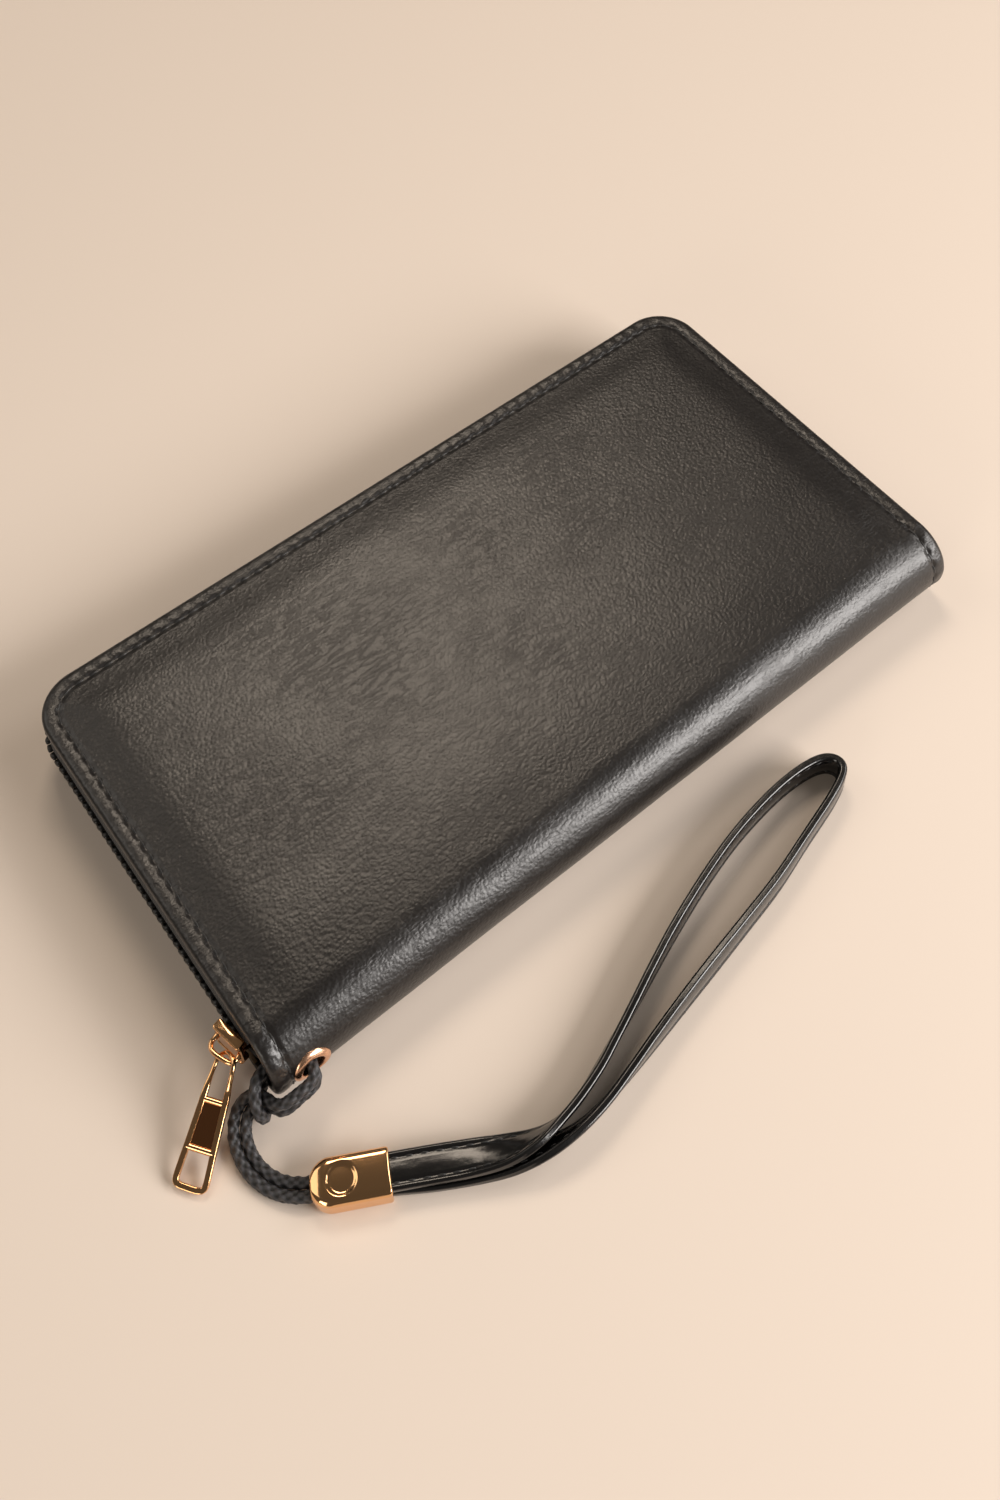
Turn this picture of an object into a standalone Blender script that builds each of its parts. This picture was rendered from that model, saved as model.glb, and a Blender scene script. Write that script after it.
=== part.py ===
"""Zip-around wristlet wallet: wrap-around leather covers, zip on three sides, cord and strap wrist loop.

Metres, +Z up. The wallet lies closed on its back cover. +X runs along its length, the rounded spine is
at -Y, the far zip side at +Y. The origin is the middle of the back cover's flat bottom face.
"""

import math

import bmesh
import bpy
from mathutils import Matrix, Vector

MM = 0.001

# Overall sizes of the closed wallet
LENGTH = 195.0 * MM
WIDTH = 104.0 * MM
THICKNESS = 20.0 * MM
CORNER_R = 11.0 * MM
CORNER_STEPS = 8
ARC_STEPS = 14
# Layers of each cover, from the outside in
LEATHER_T = 1.0 * MM
RIM_H = 2.2 * MM
RIM_W = 1.0 * MM
BOARD_T = 0.8 * MM
LINING_T = 0.5 * MM
LEAF_T = 0.5 * MM
LAYER_GAP = 0.3 * MM
LINER_INSET = 2.6 * MM
# Card leaves and the middle divider
LEAF_SIDE = 11.5 * MM
LEAF_TOP_1 = 26.0 * MM
LEAF_TOP_2 = 15.0 * MM
LEAF_FOOT = 3.0 * MM
DIVIDER_POCKET = 1.2 * MM
DIVIDER_SIDE = 11.5 * MM
DIVIDER_TOP = 7.0 * MM
DIVIDER_FOOT = 1.5 * MM
# Zip
TAPE_INSET = 1.3 * MM
TAPE_T = 0.8 * MM
TEETH_OUT = 0.8 * MM
TEETH_IN = 1.9 * MM
TEETH_H = 0.85 * MM
TEETH_SPLIT = 0.8 * MM
TAPE_GAP = 0.15 * MM
ZIP_START = 3.0 * MM
TAPE_START = 1.0 * MM
STOP_LEN = 1.6 * MM
TAB_Y = 28.0 * MM
TAB_LEN = 6.0 * MM
TAB_H = 7.0 * MM
TAB_T = 0.8 * MM
# Slider: two plates joined by a web that runs between the rows of teeth
SLIDER_LEN = 7.6 * MM
SLIDER_H = 8.0 * MM
SLIDER_T = 1.2 * MM
SLIDER_GAP = 0.25 * MM
SLIDER_FLARE = math.radians(12.0)
SLIDER_Y = 4.2 * MM
WEB_T = 0.4 * MM
BRIDGE_WIRE = 1.0 * MM
# Pull tab
PULL_LEN = 25.5 * MM
PULL_LOOP_LEN = 9.0 * MM
PULL_TOP_W = 5.6 * MM
PULL_END_W = 7.6 * MM
PULL_T = 1.5 * MM
PULL_WIRE = 0.9 * MM
PULL_BORDER = 1.3 * MM
PULL_WINDOW = 6.0 * MM
PULL_CROSS = 1.5 * MM
PULL_END_IN = 1.4 * MM
PULL_AXIS_AT = (-1.9, 2.75)
PULL_YAW = math.radians(215.7)
PULL_FOOT_GAP = 0.05 * MM
# Eyelet in the spine
EYELET_X = 8.5 * MM
EYELET_OD = 7.6 * MM
EYELET_ID = 5.5 * MM
EYELET_BARREL = 6.1 * MM
EYELET_HOLE = 6.6 * MM
EYELET_FLANGE = 0.7 * MM
WASHER_T = 0.4 * MM
# Wrist loop: cord, end cap and strap
CORD_D = 2.4 * MM
CORD_SIDE = 1.27 * MM
CORD_SWING = (-2.5, 3.0, 4.0)
CAP_LEN = 16.0 * MM
CAP_W = 9.2 * MM
CAP_H = 6.0 * MM
CAP_WALL = 0.8 * MM
CAP_CORNER = 4.4 * MM
CAP_DEPTH = 7.5 * MM
CAP_HOLE_W = 5.4 * MM
CAP_HOLE_H = 2.9 * MM
STRAP_W = 7.2 * MM
STRAP_T = 1.8 * MM
STRAP_GAP = 0.3 * MM

HALF = LENGTH / 2
SPINE_R = THICKNESS / 2
SPINE_Y = -WIDTH / 2 + SPINE_R
MID_Z = THICKNESS / 2
SEAM = math.radians(45.0)
HINGE_Y = SPINE_Y - SPINE_R * math.pi / 4
HINGE_Z = MID_Z + SPINE_R * math.pi / 4
# The near left corner, which the wrist loop hangs from
CORNER = Vector((-HALF, -WIDTH / 2, 0.0))


def clear_scene():
    """Remove every object that the file starts with."""
    for obj in list(bpy.data.objects):
        bpy.data.objects.remove(obj, do_unlink=True)


def material(name, color, roughness, metallic=0.0):
    """A Principled material with one colour."""
    mat = bpy.data.materials.get(name)
    if mat:
        return mat
    mat = bpy.data.materials.new(name)
    mat.use_nodes = True
    shader = mat.node_tree.nodes["Principled BSDF"]
    shader.inputs["Base Color"].default_value = (*color, 1.0)
    shader.inputs["Roughness"].default_value = roughness
    shader.inputs["Metallic"].default_value = metallic
    mat.diffuse_color = (*color, 1.0)
    return mat


def empty(name, location, parent=None):
    """An empty that marks a joint's axis."""
    obj = bpy.data.objects.new(name, None)
    bpy.context.scene.collection.objects.link(obj)
    obj.location = Vector(location)
    if parent:
        obj.parent = parent
        obj.location = Vector(location) - parent.matrix_world.translation
    bpy.context.view_layer.update()
    return obj


def add_object(name, bm, mat, parent=None, smooth=True):
    """Turn a bmesh into an object, with its origin on its parent's."""
    bmesh.ops.recalc_face_normals(bm, faces=bm.faces)
    mesh = bpy.data.meshes.new(name)
    if parent:
        bm.transform(Matrix.Translation(-parent.matrix_world.translation))
    bm.to_mesh(mesh)
    bm.free()
    mesh.materials.append(mat)
    if smooth:
        mesh.shade_smooth()
        mesh.set_sharp_from_angle(angle=math.radians(35.0))
    obj = bpy.data.objects.new(name, mesh)
    bpy.context.scene.collection.objects.link(obj)
    if parent:
        obj.parent = parent
    return obj


def bridge(bm, ring_a, ring_b, closed=True):
    """Quads between two rings of vertices."""
    count = len(ring_a)
    for i in range(count if closed else count - 1):
        j = (i + 1) % count
        bm.faces.new((ring_a[i], ring_a[j], ring_b[j], ring_b[i]))


def prism(outline, z_low, z_high):
    """A closed prism over an outline of (x, y) points."""
    bm = bmesh.new()
    low = [bm.verts.new((x, y, z_low)) for x, y in outline]
    high = [bm.verts.new((x, y, z_high)) for x, y in outline]
    bridge(bm, low, high)
    bm.faces.new(low)
    bm.faces.new(high)
    return bm


def box(x0, x1, y0, y1, z0, z1):
    """A rectangular block."""
    return prism([(x0, y0), (x1, y0), (x1, y1), (x0, y1)], z0, z1)


def zip_side_path(inset, y_start):
    """Points up the left side, round the far corners and down the right side, inset from the edge."""
    radius = CORNER_R - inset
    cx, cy = HALF - CORNER_R, WIDTH / 2 - CORNER_R
    points = [(-HALF + inset, y_start)]
    for i in range(CORNER_STEPS + 1):
        a = math.pi - i / CORNER_STEPS * math.pi / 2
        points.append((-cx + radius * math.cos(a), cy + radius * math.sin(a)))
    for i in range(CORNER_STEPS + 1):
        a = math.pi / 2 - i / CORNER_STEPS * math.pi / 2
        points.append((cx + radius * math.cos(a), cy + radius * math.sin(a)))
    points.append((HALF - inset, y_start))
    return points


def side_wall(inset_out, inset_in, y_start, z_low, z_high):
    """A wall that follows the three zip sides."""
    outer = zip_side_path(inset_out, y_start)
    inner = zip_side_path(inset_in, y_start)
    return prism(outer + inner[::-1], z_low, z_high)


def panel(inset, y_start, z_low, z_high):
    """A flat layer with the covers' rounded far corners."""
    return prism(zip_side_path(inset, y_start), z_low, z_high)


def leaf(side, foot, top, z_low, z_high, corner=3.0 * MM):
    """A pocket leaf: a rectangle with rounded upper corners."""
    x, y0, y1 = HALF - side, SPINE_Y + foot, WIDTH / 2 - top
    points = [(-x, y0)]
    for i in range(5):
        a = math.pi - i / 4 * math.pi / 2
        points.append((-x + corner + corner * math.cos(a), y1 - corner + corner * math.sin(a)))
    for i in range(5):
        a = math.pi / 2 - i / 4 * math.pi / 2
        points.append((x - corner + corner * math.cos(a), y1 - corner + corner * math.sin(a)))
    points.append((x, y0))
    return prism(points, z_low, z_high)


def spine_point(radius, angle):
    """A point on the spine's section, the angle measured from the top towards -Y."""
    return SPINE_Y - radius * math.sin(angle), MID_Z + radius * math.cos(angle)


def cover(front):
    """A cover's leather with its turned edge on three sides; the front one carries the spine's top eighth."""
    def z(height):
        return THICKNESS - height if front else height

    outer = zip_side_path(0.0, SPINE_Y + (0.0 if front else LAYER_GAP / 2))
    inner = zip_side_path(RIM_W, outer[0][1])
    bm = bmesh.new()
    skin = [bm.verts.new((x, y, z(0.0))) for x, y in outer]
    rim_out = [bm.verts.new((x, y, z(RIM_H))) for x, y in outer]
    rim_in = [bm.verts.new((x, y, z(RIM_H))) for x, y in inner]
    floor = [bm.verts.new((x, y, z(LEATHER_T))) for x, y in inner]
    bridge(bm, rim_out, rim_in, closed=False)
    bridge(bm, rim_in, floor, closed=False)
    bm.faces.new(skin)
    bm.faces.new(floor)
    last = len(outer) - 1
    if not front:
        bridge(bm, skin, rim_out, closed=False)
        bm.faces.new((skin[0], rim_out[0], rim_in[0], floor[0], floor[last], rim_in[last], rim_out[last], skin[last]))
        return bm
    # The corners where the spine's arc meets the cover, level with the leather's inner face
    left = bm.verts.new((-HALF, SPINE_Y, z(LEATHER_T)))
    right = bm.verts.new((HALF, SPINE_Y, z(LEATHER_T)))
    for i in range(1, last - 1):
        bm.faces.new((skin[i], skin[i + 1], rim_out[i + 1], rim_out[i]))
    bm.faces.new((skin[0], skin[1], rim_out[1], rim_out[0], left))
    bm.faces.new((skin[last], right, rim_out[last], rim_out[last - 1], skin[last - 1]))
    bm.faces.new((left, rim_out[0], rim_in[0], floor[0]))
    bm.faces.new((right, floor[last], rim_in[last], rim_out[last]))
    row_out = [skin[0], skin[last]]
    row_in = [left, floor[0], floor[last], right]
    steps = max(3, ARC_STEPS // 4)
    for i in range(1, steps + 1):
        angle = SEAM * i / steps
        y_out, z_out = spine_point(SPINE_R, angle)
        y_in, z_in = spine_point(SPINE_R - LEATHER_T, angle)
        new_out = [bm.verts.new((x, y_out, z_out)) for x in (-HALF, HALF)]
        xs = (-HALF, inner[0][0], inner[last][0], HALF)
        new_in = [bm.verts.new((x, y_in, z_in)) for x in xs]
        bm.faces.new((row_out[0], row_out[1], new_out[1], new_out[0]))
        for k in range(3):
            bm.faces.new((row_in[k], new_in[k], new_in[k + 1], row_in[k + 1]))
        bm.faces.new((row_out[0], new_out[0], new_in[0], row_in[0]))
        bm.faces.new((row_out[1], row_in[3], new_in[3], new_out[1]))
        row_out, row_in = new_out, new_in
    bm.faces.new((row_out[0], row_out[1], row_in[3], row_in[2], row_in[1], row_in[0]))
    return bm


def spine_cover():
    """The spine's leather from the back cover round to the seam with the front cover."""
    start = SEAM + LAYER_GAP / SPINE_R
    section = []
    for i in range(ARC_STEPS + 1):
        section.append(spine_point(SPINE_R, start + (math.pi - start) * i / ARC_STEPS))
    section.append((SPINE_Y - LAYER_GAP / 2, 0.0))
    section.append((SPINE_Y - LAYER_GAP / 2, LEATHER_T))
    for i in range(ARC_STEPS, -1, -1):
        section.append(spine_point(SPINE_R - LEATHER_T, start + (math.pi - start) * i / ARC_STEPS))
    section = [p for p in section if p[0] <= SPINE_Y - LAYER_GAP / 2 + 1e-9]
    bm = bmesh.new()
    left = [bm.verts.new((-HALF, y, z)) for y, z in section]
    right = [bm.verts.new((HALF, y, z)) for y, z in section]
    bridge(bm, left, right)
    bm.faces.new(left)
    bm.faces.new(right)
    return bm


def cut(obj, cutter_bm, name):
    """Take a hidden cutter out of an object with a Boolean."""
    cutter = add_object(name, cutter_bm, obj.data.materials[0], smooth=False)
    cutter.hide_render = True
    cutter.display_type = "WIRE"
    boolean = obj.modifiers.new(name, "BOOLEAN")
    boolean.operation = "DIFFERENCE"
    boolean.object = cutter


def join(obj, tool_bm, name):
    """Add a hidden shape to an object with a Boolean."""
    tool = add_object(name, tool_bm, obj.data.materials[0], smooth=False)
    tool.hide_render = True
    tool.display_type = "WIRE"
    boolean = obj.modifiers.new(name, "BOOLEAN")
    boolean.operation = "UNION"
    boolean.object = tool


def lathe(profile, centre, steps=24):
    """A ring turned round an axis along Y: profile points are (radius, y)."""
    bm = bmesh.new()
    rings = []
    for i in range(steps):
        a = 2 * math.pi * i / steps
        rings.append([
            bm.verts.new((centre[0] + r * math.cos(a), y, centre[2] + r * math.sin(a)))
            for r, y in profile
        ])
    for i in range(steps):
        bridge(bm, rings[i], rings[(i + 1) % steps])
    return bm


def smooth_route(points, per_span):
    """A smooth curve through the points (Catmull-Rom), with every value of each point carried along."""
    ends = [[2 * a - b for a, b in zip(points[0], points[1])]]
    ends += [list(p) for p in points]
    ends += [[2 * a - b for a, b in zip(points[-1], points[-2])]]
    route = []
    for i in range(1, len(ends) - 2):
        p0, p1, p2, p3 = ends[i - 1:i + 3]
        for k in range(per_span):
            t = k / per_span
            route.append([
                0.5 * (2 * b + (c - a) * t + (2 * a - 5 * b + 4 * c - d) * t * t + (3 * b - a - 3 * c + d) * t ** 3)
                for a, b, c, d in zip(p0, p1, p2, p3)
            ])
    route.append(list(points[-1]))
    return route


def wire(name, points, diameter, mat, parent=None):
    """A round wire or cord through the points."""
    curve = bpy.data.curves.new(name, "CURVE")
    curve.dimensions = "3D"
    curve.bevel_depth = diameter / 2
    curve.bevel_resolution = 2
    curve.use_fill_caps = True
    spline = curve.splines.new("POLY")
    spline.points.add(len(points) - 1)
    offset = parent.matrix_world.translation if parent else Vector((0, 0, 0))
    for point, at in zip(spline.points, points):
        point.co = (*(Vector(at) - offset), 1.0)
    curve.materials.append(mat)
    obj = bpy.data.objects.new(name, curve)
    bpy.context.scene.collection.objects.link(obj)
    if parent:
        obj.parent = parent
    return obj


def tube(points, radius, steps=10):
    """A closed round tube mesh through the points, for shapes that a Boolean joins."""
    bm = bmesh.new()
    rings = []
    pts = [Vector(p) for p in points]
    normal = None
    for i, p in enumerate(pts):
        ahead = (pts[min(i + 1, len(pts) - 1)] - pts[max(i - 1, 0)]).normalized()
        if normal is None:
            normal = ahead.orthogonal().normalized()
        normal = (normal - ahead * normal.dot(ahead)).normalized()
        side = ahead.cross(normal)
        rings.append([
            bm.verts.new(p + radius * (math.cos(a) * normal + math.sin(a) * side))
            for a in (2 * math.pi * k / steps for k in range(steps))
        ])
    for a, b in zip(rings, rings[1:]):
        bridge(bm, a, b)
    bm.faces.new(rings[0])
    bm.faces.new(rings[-1])
    return bm


# The doubled cord, in mm from the wallet's near left corner: middle of the pair (x, y, z) and the pair's
# roll in degrees, from inside the end cap, along the table, up through the bight, into the eyelet and
# out of the spine's open end.
CORD_PAIR = (
    (-1.1, -17.95, 3.0, 0), (-4.1, -16.3, 2.7, 0), (-7.7, -13.0, 1.45, 0), (-10.1, -8.4, 1.3, 0),
    (-10.6, -3.6, 1.3, 0), (-9.5, 0.8, 1.7, 0), (-7.2, 3.5, 2.9, 12), (-4.5, 4.1, 4.3, 45),
    (-2.4, 2.6, 5.2, 78), (-1.5, -0.3, 6.2, 88), (0.0, -2.5, 7.8, 90), (3.5, -2.8, 9.3, 90),
    (6.9, -3.0, 10.0, 90), (8.5, -0.4, 10.0, 90), (7.6, 3.6, 9.8, 90), (4.1, 5.5, 9.0, 90), (0.2, 5.7, 8.2, 90),
)
# The bight that wraps the pair: from the upper strand, over, down the outside and back underneath.
CORD_BIGHT = (
    (-1.3, 5.1, 9.8), (-2.9, 3.8, 9.3), (-4.3, 1.7, 7.8), (-4.5, 0.3, 5.0),
    (-3.8, 0.2, 2.5), (-2.5, 2.1, 1.3), (-1.6, 5.2, 3.9),
)


def cord_route():
    """The cord's centreline: one strand out, round the bight and the other strand back."""
    pair = smooth_route(CORD_PAIR, 2)
    upper, lower = [], []
    for i, (x, y, z, roll) in enumerate(pair):
        a = Vector(pair[max(i - 1, 0)][:3])
        b = Vector(pair[min(i + 1, len(pair) - 1)][:3])
        ahead = (b - a).normalized()
        side = Vector((0, 0, 1)).cross(ahead).normalized()
        up = ahead.cross(side)
        turn = math.radians(roll)
        offset = (side * math.cos(turn) + up * math.sin(turn)) * (CORD_SIDE / MM)
        upper.append(Vector((x, y, z)) + offset)
        lower.append(Vector((x, y, z)) - offset)
    bight = smooth_route((upper[-2], *CORD_BIGHT, lower[-2]), 2)[1:-1]
    points = upper[:-1] + [Vector(p) for p in bight] + lower[:-1][::-1]
    return [CORNER + p * MM for p in points]


# Wrist strap centreline: x, y in mm from the near left corner, the layer's height and its turn from lying flat (0) to on edge (90).
STRAP_TOP = (
    (5.5, -21.55, 4.05, 0), (10.0, -24.0, 4.05, 0), (17.0, -27.9, 4.05, 0), (23.5, -31.6, 4.15, 6),
    (29.7, -34.9, 4.5, 24), (35.7, -36.9, 4.7, 52), (41.5, -37.3, 4.3, 74), (47.5, -36.5, 4.1, 80),
    (54.0, -34.6, 4.0, 78), (60.5, -32.2, 3.95, 80), (67.5, -29.6, 3.95, 84), (75.5, -26.5, 3.95, 88),
    (85.5, -22.8, 3.95, 90), (97.5, -19.0, 3.95, 90), (109.5, -16.0, 3.95, 90), (121.5, -14.3, 3.95, 90),
    (130.5, -14.1, 3.95, 90), (136.8, -15.2, 3.95, 90),
)
STRAP_TIP = (
    (139.5, -17.6, 3.95, 90), (138.7, -20.4, 3.95, 90),
)
STRAP_BACK = (
    (133.0, -22.9, 3.95, 90), (121.5, -26.0, 3.95, 90), (109.5, -29.2, 3.95, 92), (97.5, -31.5, 3.95, 93),
    (85.5, -33.7, 3.95, 94), (75.5, -35.6, 3.95, 92), (66.5, -37.4, 3.95, 88), (58.5, -39.0, 3.95, 82),
    (51.0, -40.3, 3.95, 76), (44.0, -40.6, 3.85, 68), (37.2, -39.4, 3.45, 50), (30.5, -36.6, 2.85, 24),
    (23.9, -32.7, 2.05, 6), (17.0, -28.6, 1.95, 0), (10.0, -24.0, 1.95, 0), (5.5, -21.55, 1.95, 0),
)


def strap_section():
    """Half-rounded rectangle of the strap: across its width and through its thickness."""
    w, t, c = STRAP_W / 2, STRAP_T / 2, STRAP_T * 0.28
    return ((w, -t + c), (w, t - c), (w - c, t), (-w + c, t), (-w, t - c), (-w, -t + c), (-w + c, -t), (w - c, -t))


def strap(parent):
    """One leather strip: out of the cap, on to its edge, round the tip and back under itself."""
    route = smooth_route(STRAP_TOP + STRAP_TIP + STRAP_BACK, 3)
    bm = bmesh.new()
    rings = []
    split = len(STRAP_TOP) + len(STRAP_TIP) / 2
    for i, (x, y, z, turn) in enumerate(route):
        a = Vector(route[max(i - 1, 0)][:2]).to_3d()
        b = Vector(route[min(i + 1, len(route) - 1)][:2]).to_3d()
        ahead = (b - a).normalized()
        side = Vector((0, 0, 1)).cross(ahead)
        angle = math.radians(turn)
        outward = Vector((0, 0, 1)) * math.cos(angle) + side * math.sin(angle)
        across = side * math.cos(angle) - Vector((0, 0, 1)) * math.sin(angle)
        if i > split * 3:
            outward = -Vector((0, 0, 1)) * math.cos(angle) + side * math.sin(angle)
            across = -side * math.cos(angle) - Vector((0, 0, 1)) * math.sin(angle)
        centre = CORNER + Vector((x, y, z)) * MM
        rings.append([bm.verts.new(centre + across * u + outward * v) for u, v in strap_section()])
    for first, second in zip(rings, rings[1:]):
        bridge(bm, first, second)
    bm.faces.new(rings[0])
    bm.faces.new(rings[-1])
    return add_object("strap", bm, material("strap_leather", (0.016, 0.014, 0.014), 0.28), parent)


CAP_MOUTH = CORNER + Vector((10.0, -24.0, 0.0)) * MM
CAP_WAY = Vector((-0.879, 0.477, 0.0)).normalized()
CAP_SIDE = Vector((0.0, 0.0, 1.0)).cross(CAP_WAY)


def cap_point(along, aside, up):
    """A point in the end cap's own frame: from its mouth towards the cord, to its side, and up."""
    return CAP_MOUTH + CAP_WAY * along + CAP_SIDE * aside + Vector((0, 0, up))


def cap_block(a0, a1, s0, s1, z0, z1):
    """A rectangular block in the end cap's frame."""
    bm = bmesh.new()
    low = [bm.verts.new(cap_point(a, s, z0)) for a, s in ((a0, s0), (a1, s0), (a1, s1), (a0, s1))]
    high = [bm.verts.new(cap_point(a, s, z1)) for a, s in ((a0, s0), (a1, s0), (a1, s1), (a0, s1))]
    bridge(bm, low, high)
    bm.faces.new(low)
    bm.faces.new(high)
    return bm


def end_cap(parent, metal):
    """The cast cap between cord and strap: round at the cord, square at the strap, open at both."""
    half, corner = CAP_W / 2, CAP_CORNER
    outline = [(0.0, -half)]
    for i in range(7):
        a = -math.pi / 2 + i / 6 * math.pi / 2
        outline.append((CAP_LEN - corner + corner * math.cos(a), -half + corner + corner * math.sin(a)))
    for i in range(7):
        a = i / 6 * math.pi / 2
        outline.append((CAP_LEN - corner + corner * math.cos(a), half - corner + corner * math.sin(a)))
    outline.append((0.0, half))
    bm = bmesh.new()
    low = [bm.verts.new(cap_point(a, s, 0.0)) for a, s in outline]
    high = [bm.verts.new(cap_point(a, s, CAP_H)) for a, s in outline]
    bridge(bm, low, high)
    bm.faces.new(low)
    bm.faces.new(high)
    cap = add_object("end_cap", bm, metal, parent)
    wall = CAP_WALL
    cut(cap, cap_block(-MM, CAP_DEPTH, -half + wall, half - wall, wall, CAP_H - wall), "cap_socket")
    low_z, high_z = CAP_H / 2 - CAP_HOLE_H / 2, CAP_H / 2 + CAP_HOLE_H / 2
    cut(cap, cap_block(CAP_DEPTH - MM, CAP_LEN + MM, -CAP_HOLE_W / 2, CAP_HOLE_W / 2, low_z, high_z), "cap_cord_hole")
    dimple = tube([cap_point(10.2 * MM, 0.0, CAP_H - 0.3 * MM), cap_point(10.2 * MM, 0.0, CAP_H + MM)], 2.9 * MM, 20)
    cut(cap, dimple, "cap_dimple")
    return cap


def layers(half, front, parent, mats):
    """Board, lining, zip tape, teeth and two card leaves of one cover, from the outside in."""
    def span(a, b):
        return (THICKNESS - b, THICKNESS - a) if front else (a, b)

    y_start = SPINE_Y + LAYER_GAP
    z = LEATHER_T + LAYER_GAP
    add_object(half + "_board", panel(LINER_INSET, y_start, *span(z, z + BOARD_T)), mats["board"], parent)
    z += BOARD_T + LAYER_GAP
    add_object(half + "_lining", panel(LINER_INSET, y_start, *span(z, z + LINING_T)), mats["lining"], parent)
    z += LINING_T + LAYER_GAP
    for number, top in ((1, LEAF_TOP_1), (2, LEAF_TOP_2)):
        shape = leaf(LEAF_SIDE, LEAF_FOOT, top, *span(z, z + LEAF_T))
        add_object(f"{half}_card_leaf_{number}", shape, mats["lining"], parent)
        z += LEAF_T + LAYER_GAP
    teeth_top = MID_Z - TEETH_SPLIT / 2
    tape = side_wall(
        TAPE_INSET, TAPE_INSET + TAPE_T, SPINE_Y + TAPE_START,
        *span(LEATHER_T + LAYER_GAP, teeth_top - TEETH_H - TAPE_GAP),
    )
    add_object(half + "_zip_tape", tape, mats["tape"], parent)
    row = side_wall(-TEETH_OUT, TEETH_IN, SPINE_Y + ZIP_START, *span(teeth_top - TEETH_H, teeth_top))
    add_object(half + "_teeth", row, mats["teeth"], parent)
    for side, sign in (("left", -1), ("right", 1)):
        x0, x1 = sorted((sign * (HALF + TEETH_OUT), sign * (HALF - TEETH_IN)))
        y1 = SPINE_Y + ZIP_START - TAPE_GAP
        stop = box(x0, x1, y1 - STOP_LEN, y1, *span(teeth_top - TEETH_H, teeth_top))
        add_object(f"{half}_{side}_stop", stop, mats["teeth"], parent)


def gusset(side, sign, mat):
    """A folded end gusset that joins the covers' linings and folds inwards when shut."""
    foot = LEATHER_T + BOARD_T + LINING_T + 3 * LAYER_GAP
    x_edge, x_fold = HALF - 4.2 * MM, HALF - 9.6 * MM
    t = 0.5 * MM
    section = [
        (x_edge, foot), (x_fold, MID_Z), (x_edge, THICKNESS - foot),
        (x_edge - t, THICKNESS - foot), (x_fold - t, MID_Z), (x_edge - t, foot),
    ]
    bm = bmesh.new()
    y0, y1 = SPINE_Y + 4.0 * MM, WIDTH / 2 - 16.0 * MM
    near = [bm.verts.new((sign * x, y0, z)) for x, z in section]
    far = [bm.verts.new((sign * x, y1, z)) for x, z in section]
    bridge(bm, near, far)
    bm.faces.new(near)
    bm.faces.new(far)
    return add_object(side + "_gusset", bm, mat)


def slider_frame():
    """Middle of the slider's outer plate and its two directions: along the plate and outwards."""
    along = Vector((-math.sin(SLIDER_FLARE), math.cos(SLIDER_FLARE), 0.0))
    out = Vector((-math.cos(SLIDER_FLARE), -math.sin(SLIDER_FLARE), 0.0))
    inner_x = -HALF - TEETH_OUT - SLIDER_GAP - SLIDER_LEN / 2 * math.sin(SLIDER_FLARE)
    centre = Vector((inner_x, SPINE_Y + SLIDER_Y, MID_Z)) + out * (SLIDER_T / 2)
    return centre, along, out


def slider_point(along_mm, out_mm, up_mm=0.0):
    """A point from the middle of the outer plate, in millimetres along, outwards and up."""
    centre, along, out = slider_frame()
    return centre + along * (along_mm * MM) + out * (out_mm * MM) + Vector((0, 0, up_mm * MM))


def zip_slider(parent, metal):
    """Slider: the flared outer plate, the inner plate and the web between the rows of teeth."""
    centre, along, out = slider_frame()
    half, t = SLIDER_LEN / 2, SLIDER_T / 2
    corners = [centre + along * a + out * o for a, o in ((-half, -t), (half, -t), (half, t), (-half, t))]
    plate = prism([(c.x, c.y) for c in corners], MID_Z - SLIDER_H / 2, MID_Z + SLIDER_H / 2)
    body = add_object("slider_body", plate, metal, parent)
    x_in = -HALF + TAPE_INSET + TAPE_T + SLIDER_GAP
    y0, y1 = centre.y - half + 0.5 * MM, centre.y + half - 0.5 * MM
    inner = box(x_in, x_in + SLIDER_T, y0, y1, MID_Z - SLIDER_H / 2 + 0.5 * MM, MID_Z + SLIDER_H / 2 - 0.5 * MM)
    join(body, inner, "slider_inner_plate")
    web = box(centre.x, x_in + SLIDER_T / 2, y0 + MM, y1 - MM, MID_Z - WEB_T / 2, MID_Z + WEB_T / 2)
    join(body, web, "slider_web")
    face = SLIDER_T / MM / 2
    route = [
        slider_point(3.0, face + 0.7), slider_point(3.0, face + 1.4), slider_point(2.3, face + 2.3),
        slider_point(1.0, face + 2.65), slider_point(-1.4, face + 2.35), slider_point(-3.0, face + 1.9),
        slider_point(-3.4, face + 1.2), slider_point(-3.4, face + 0.7),
    ]
    wire_points = [slider_point(3.0, face + 0.12), *route, slider_point(-3.4, face + 0.12)]
    wire("slider_bridge", wire_points, BRIDGE_WIRE, metal, parent)
    return body


def pull_frame():
    """The pull tab's hinge point and its directions: down its length, across it and out of its face.

    The tab leans until the lower edge of its end is just above the surface that the wallet lies on:
    reach * sin(lean) + half thickness * cos(lean) = height of the hinge.
    """
    hinge = slider_point(PULL_AXIS_AT[0], PULL_AXIS_AT[1])
    reach, half = PULL_LEN - PULL_END_IN, PULL_T / 2
    lean = math.asin((hinge.z - PULL_FOOT_GAP) / math.hypot(reach, half)) - math.atan2(half, reach)
    level = math.cos(lean)
    down = Vector((math.cos(PULL_YAW) * level, math.sin(PULL_YAW) * level, -math.sin(lean)))
    across = Vector((0, 0, 1)).cross(down).normalized()
    return hinge, down, across, across.cross(down) * -1.0


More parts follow.
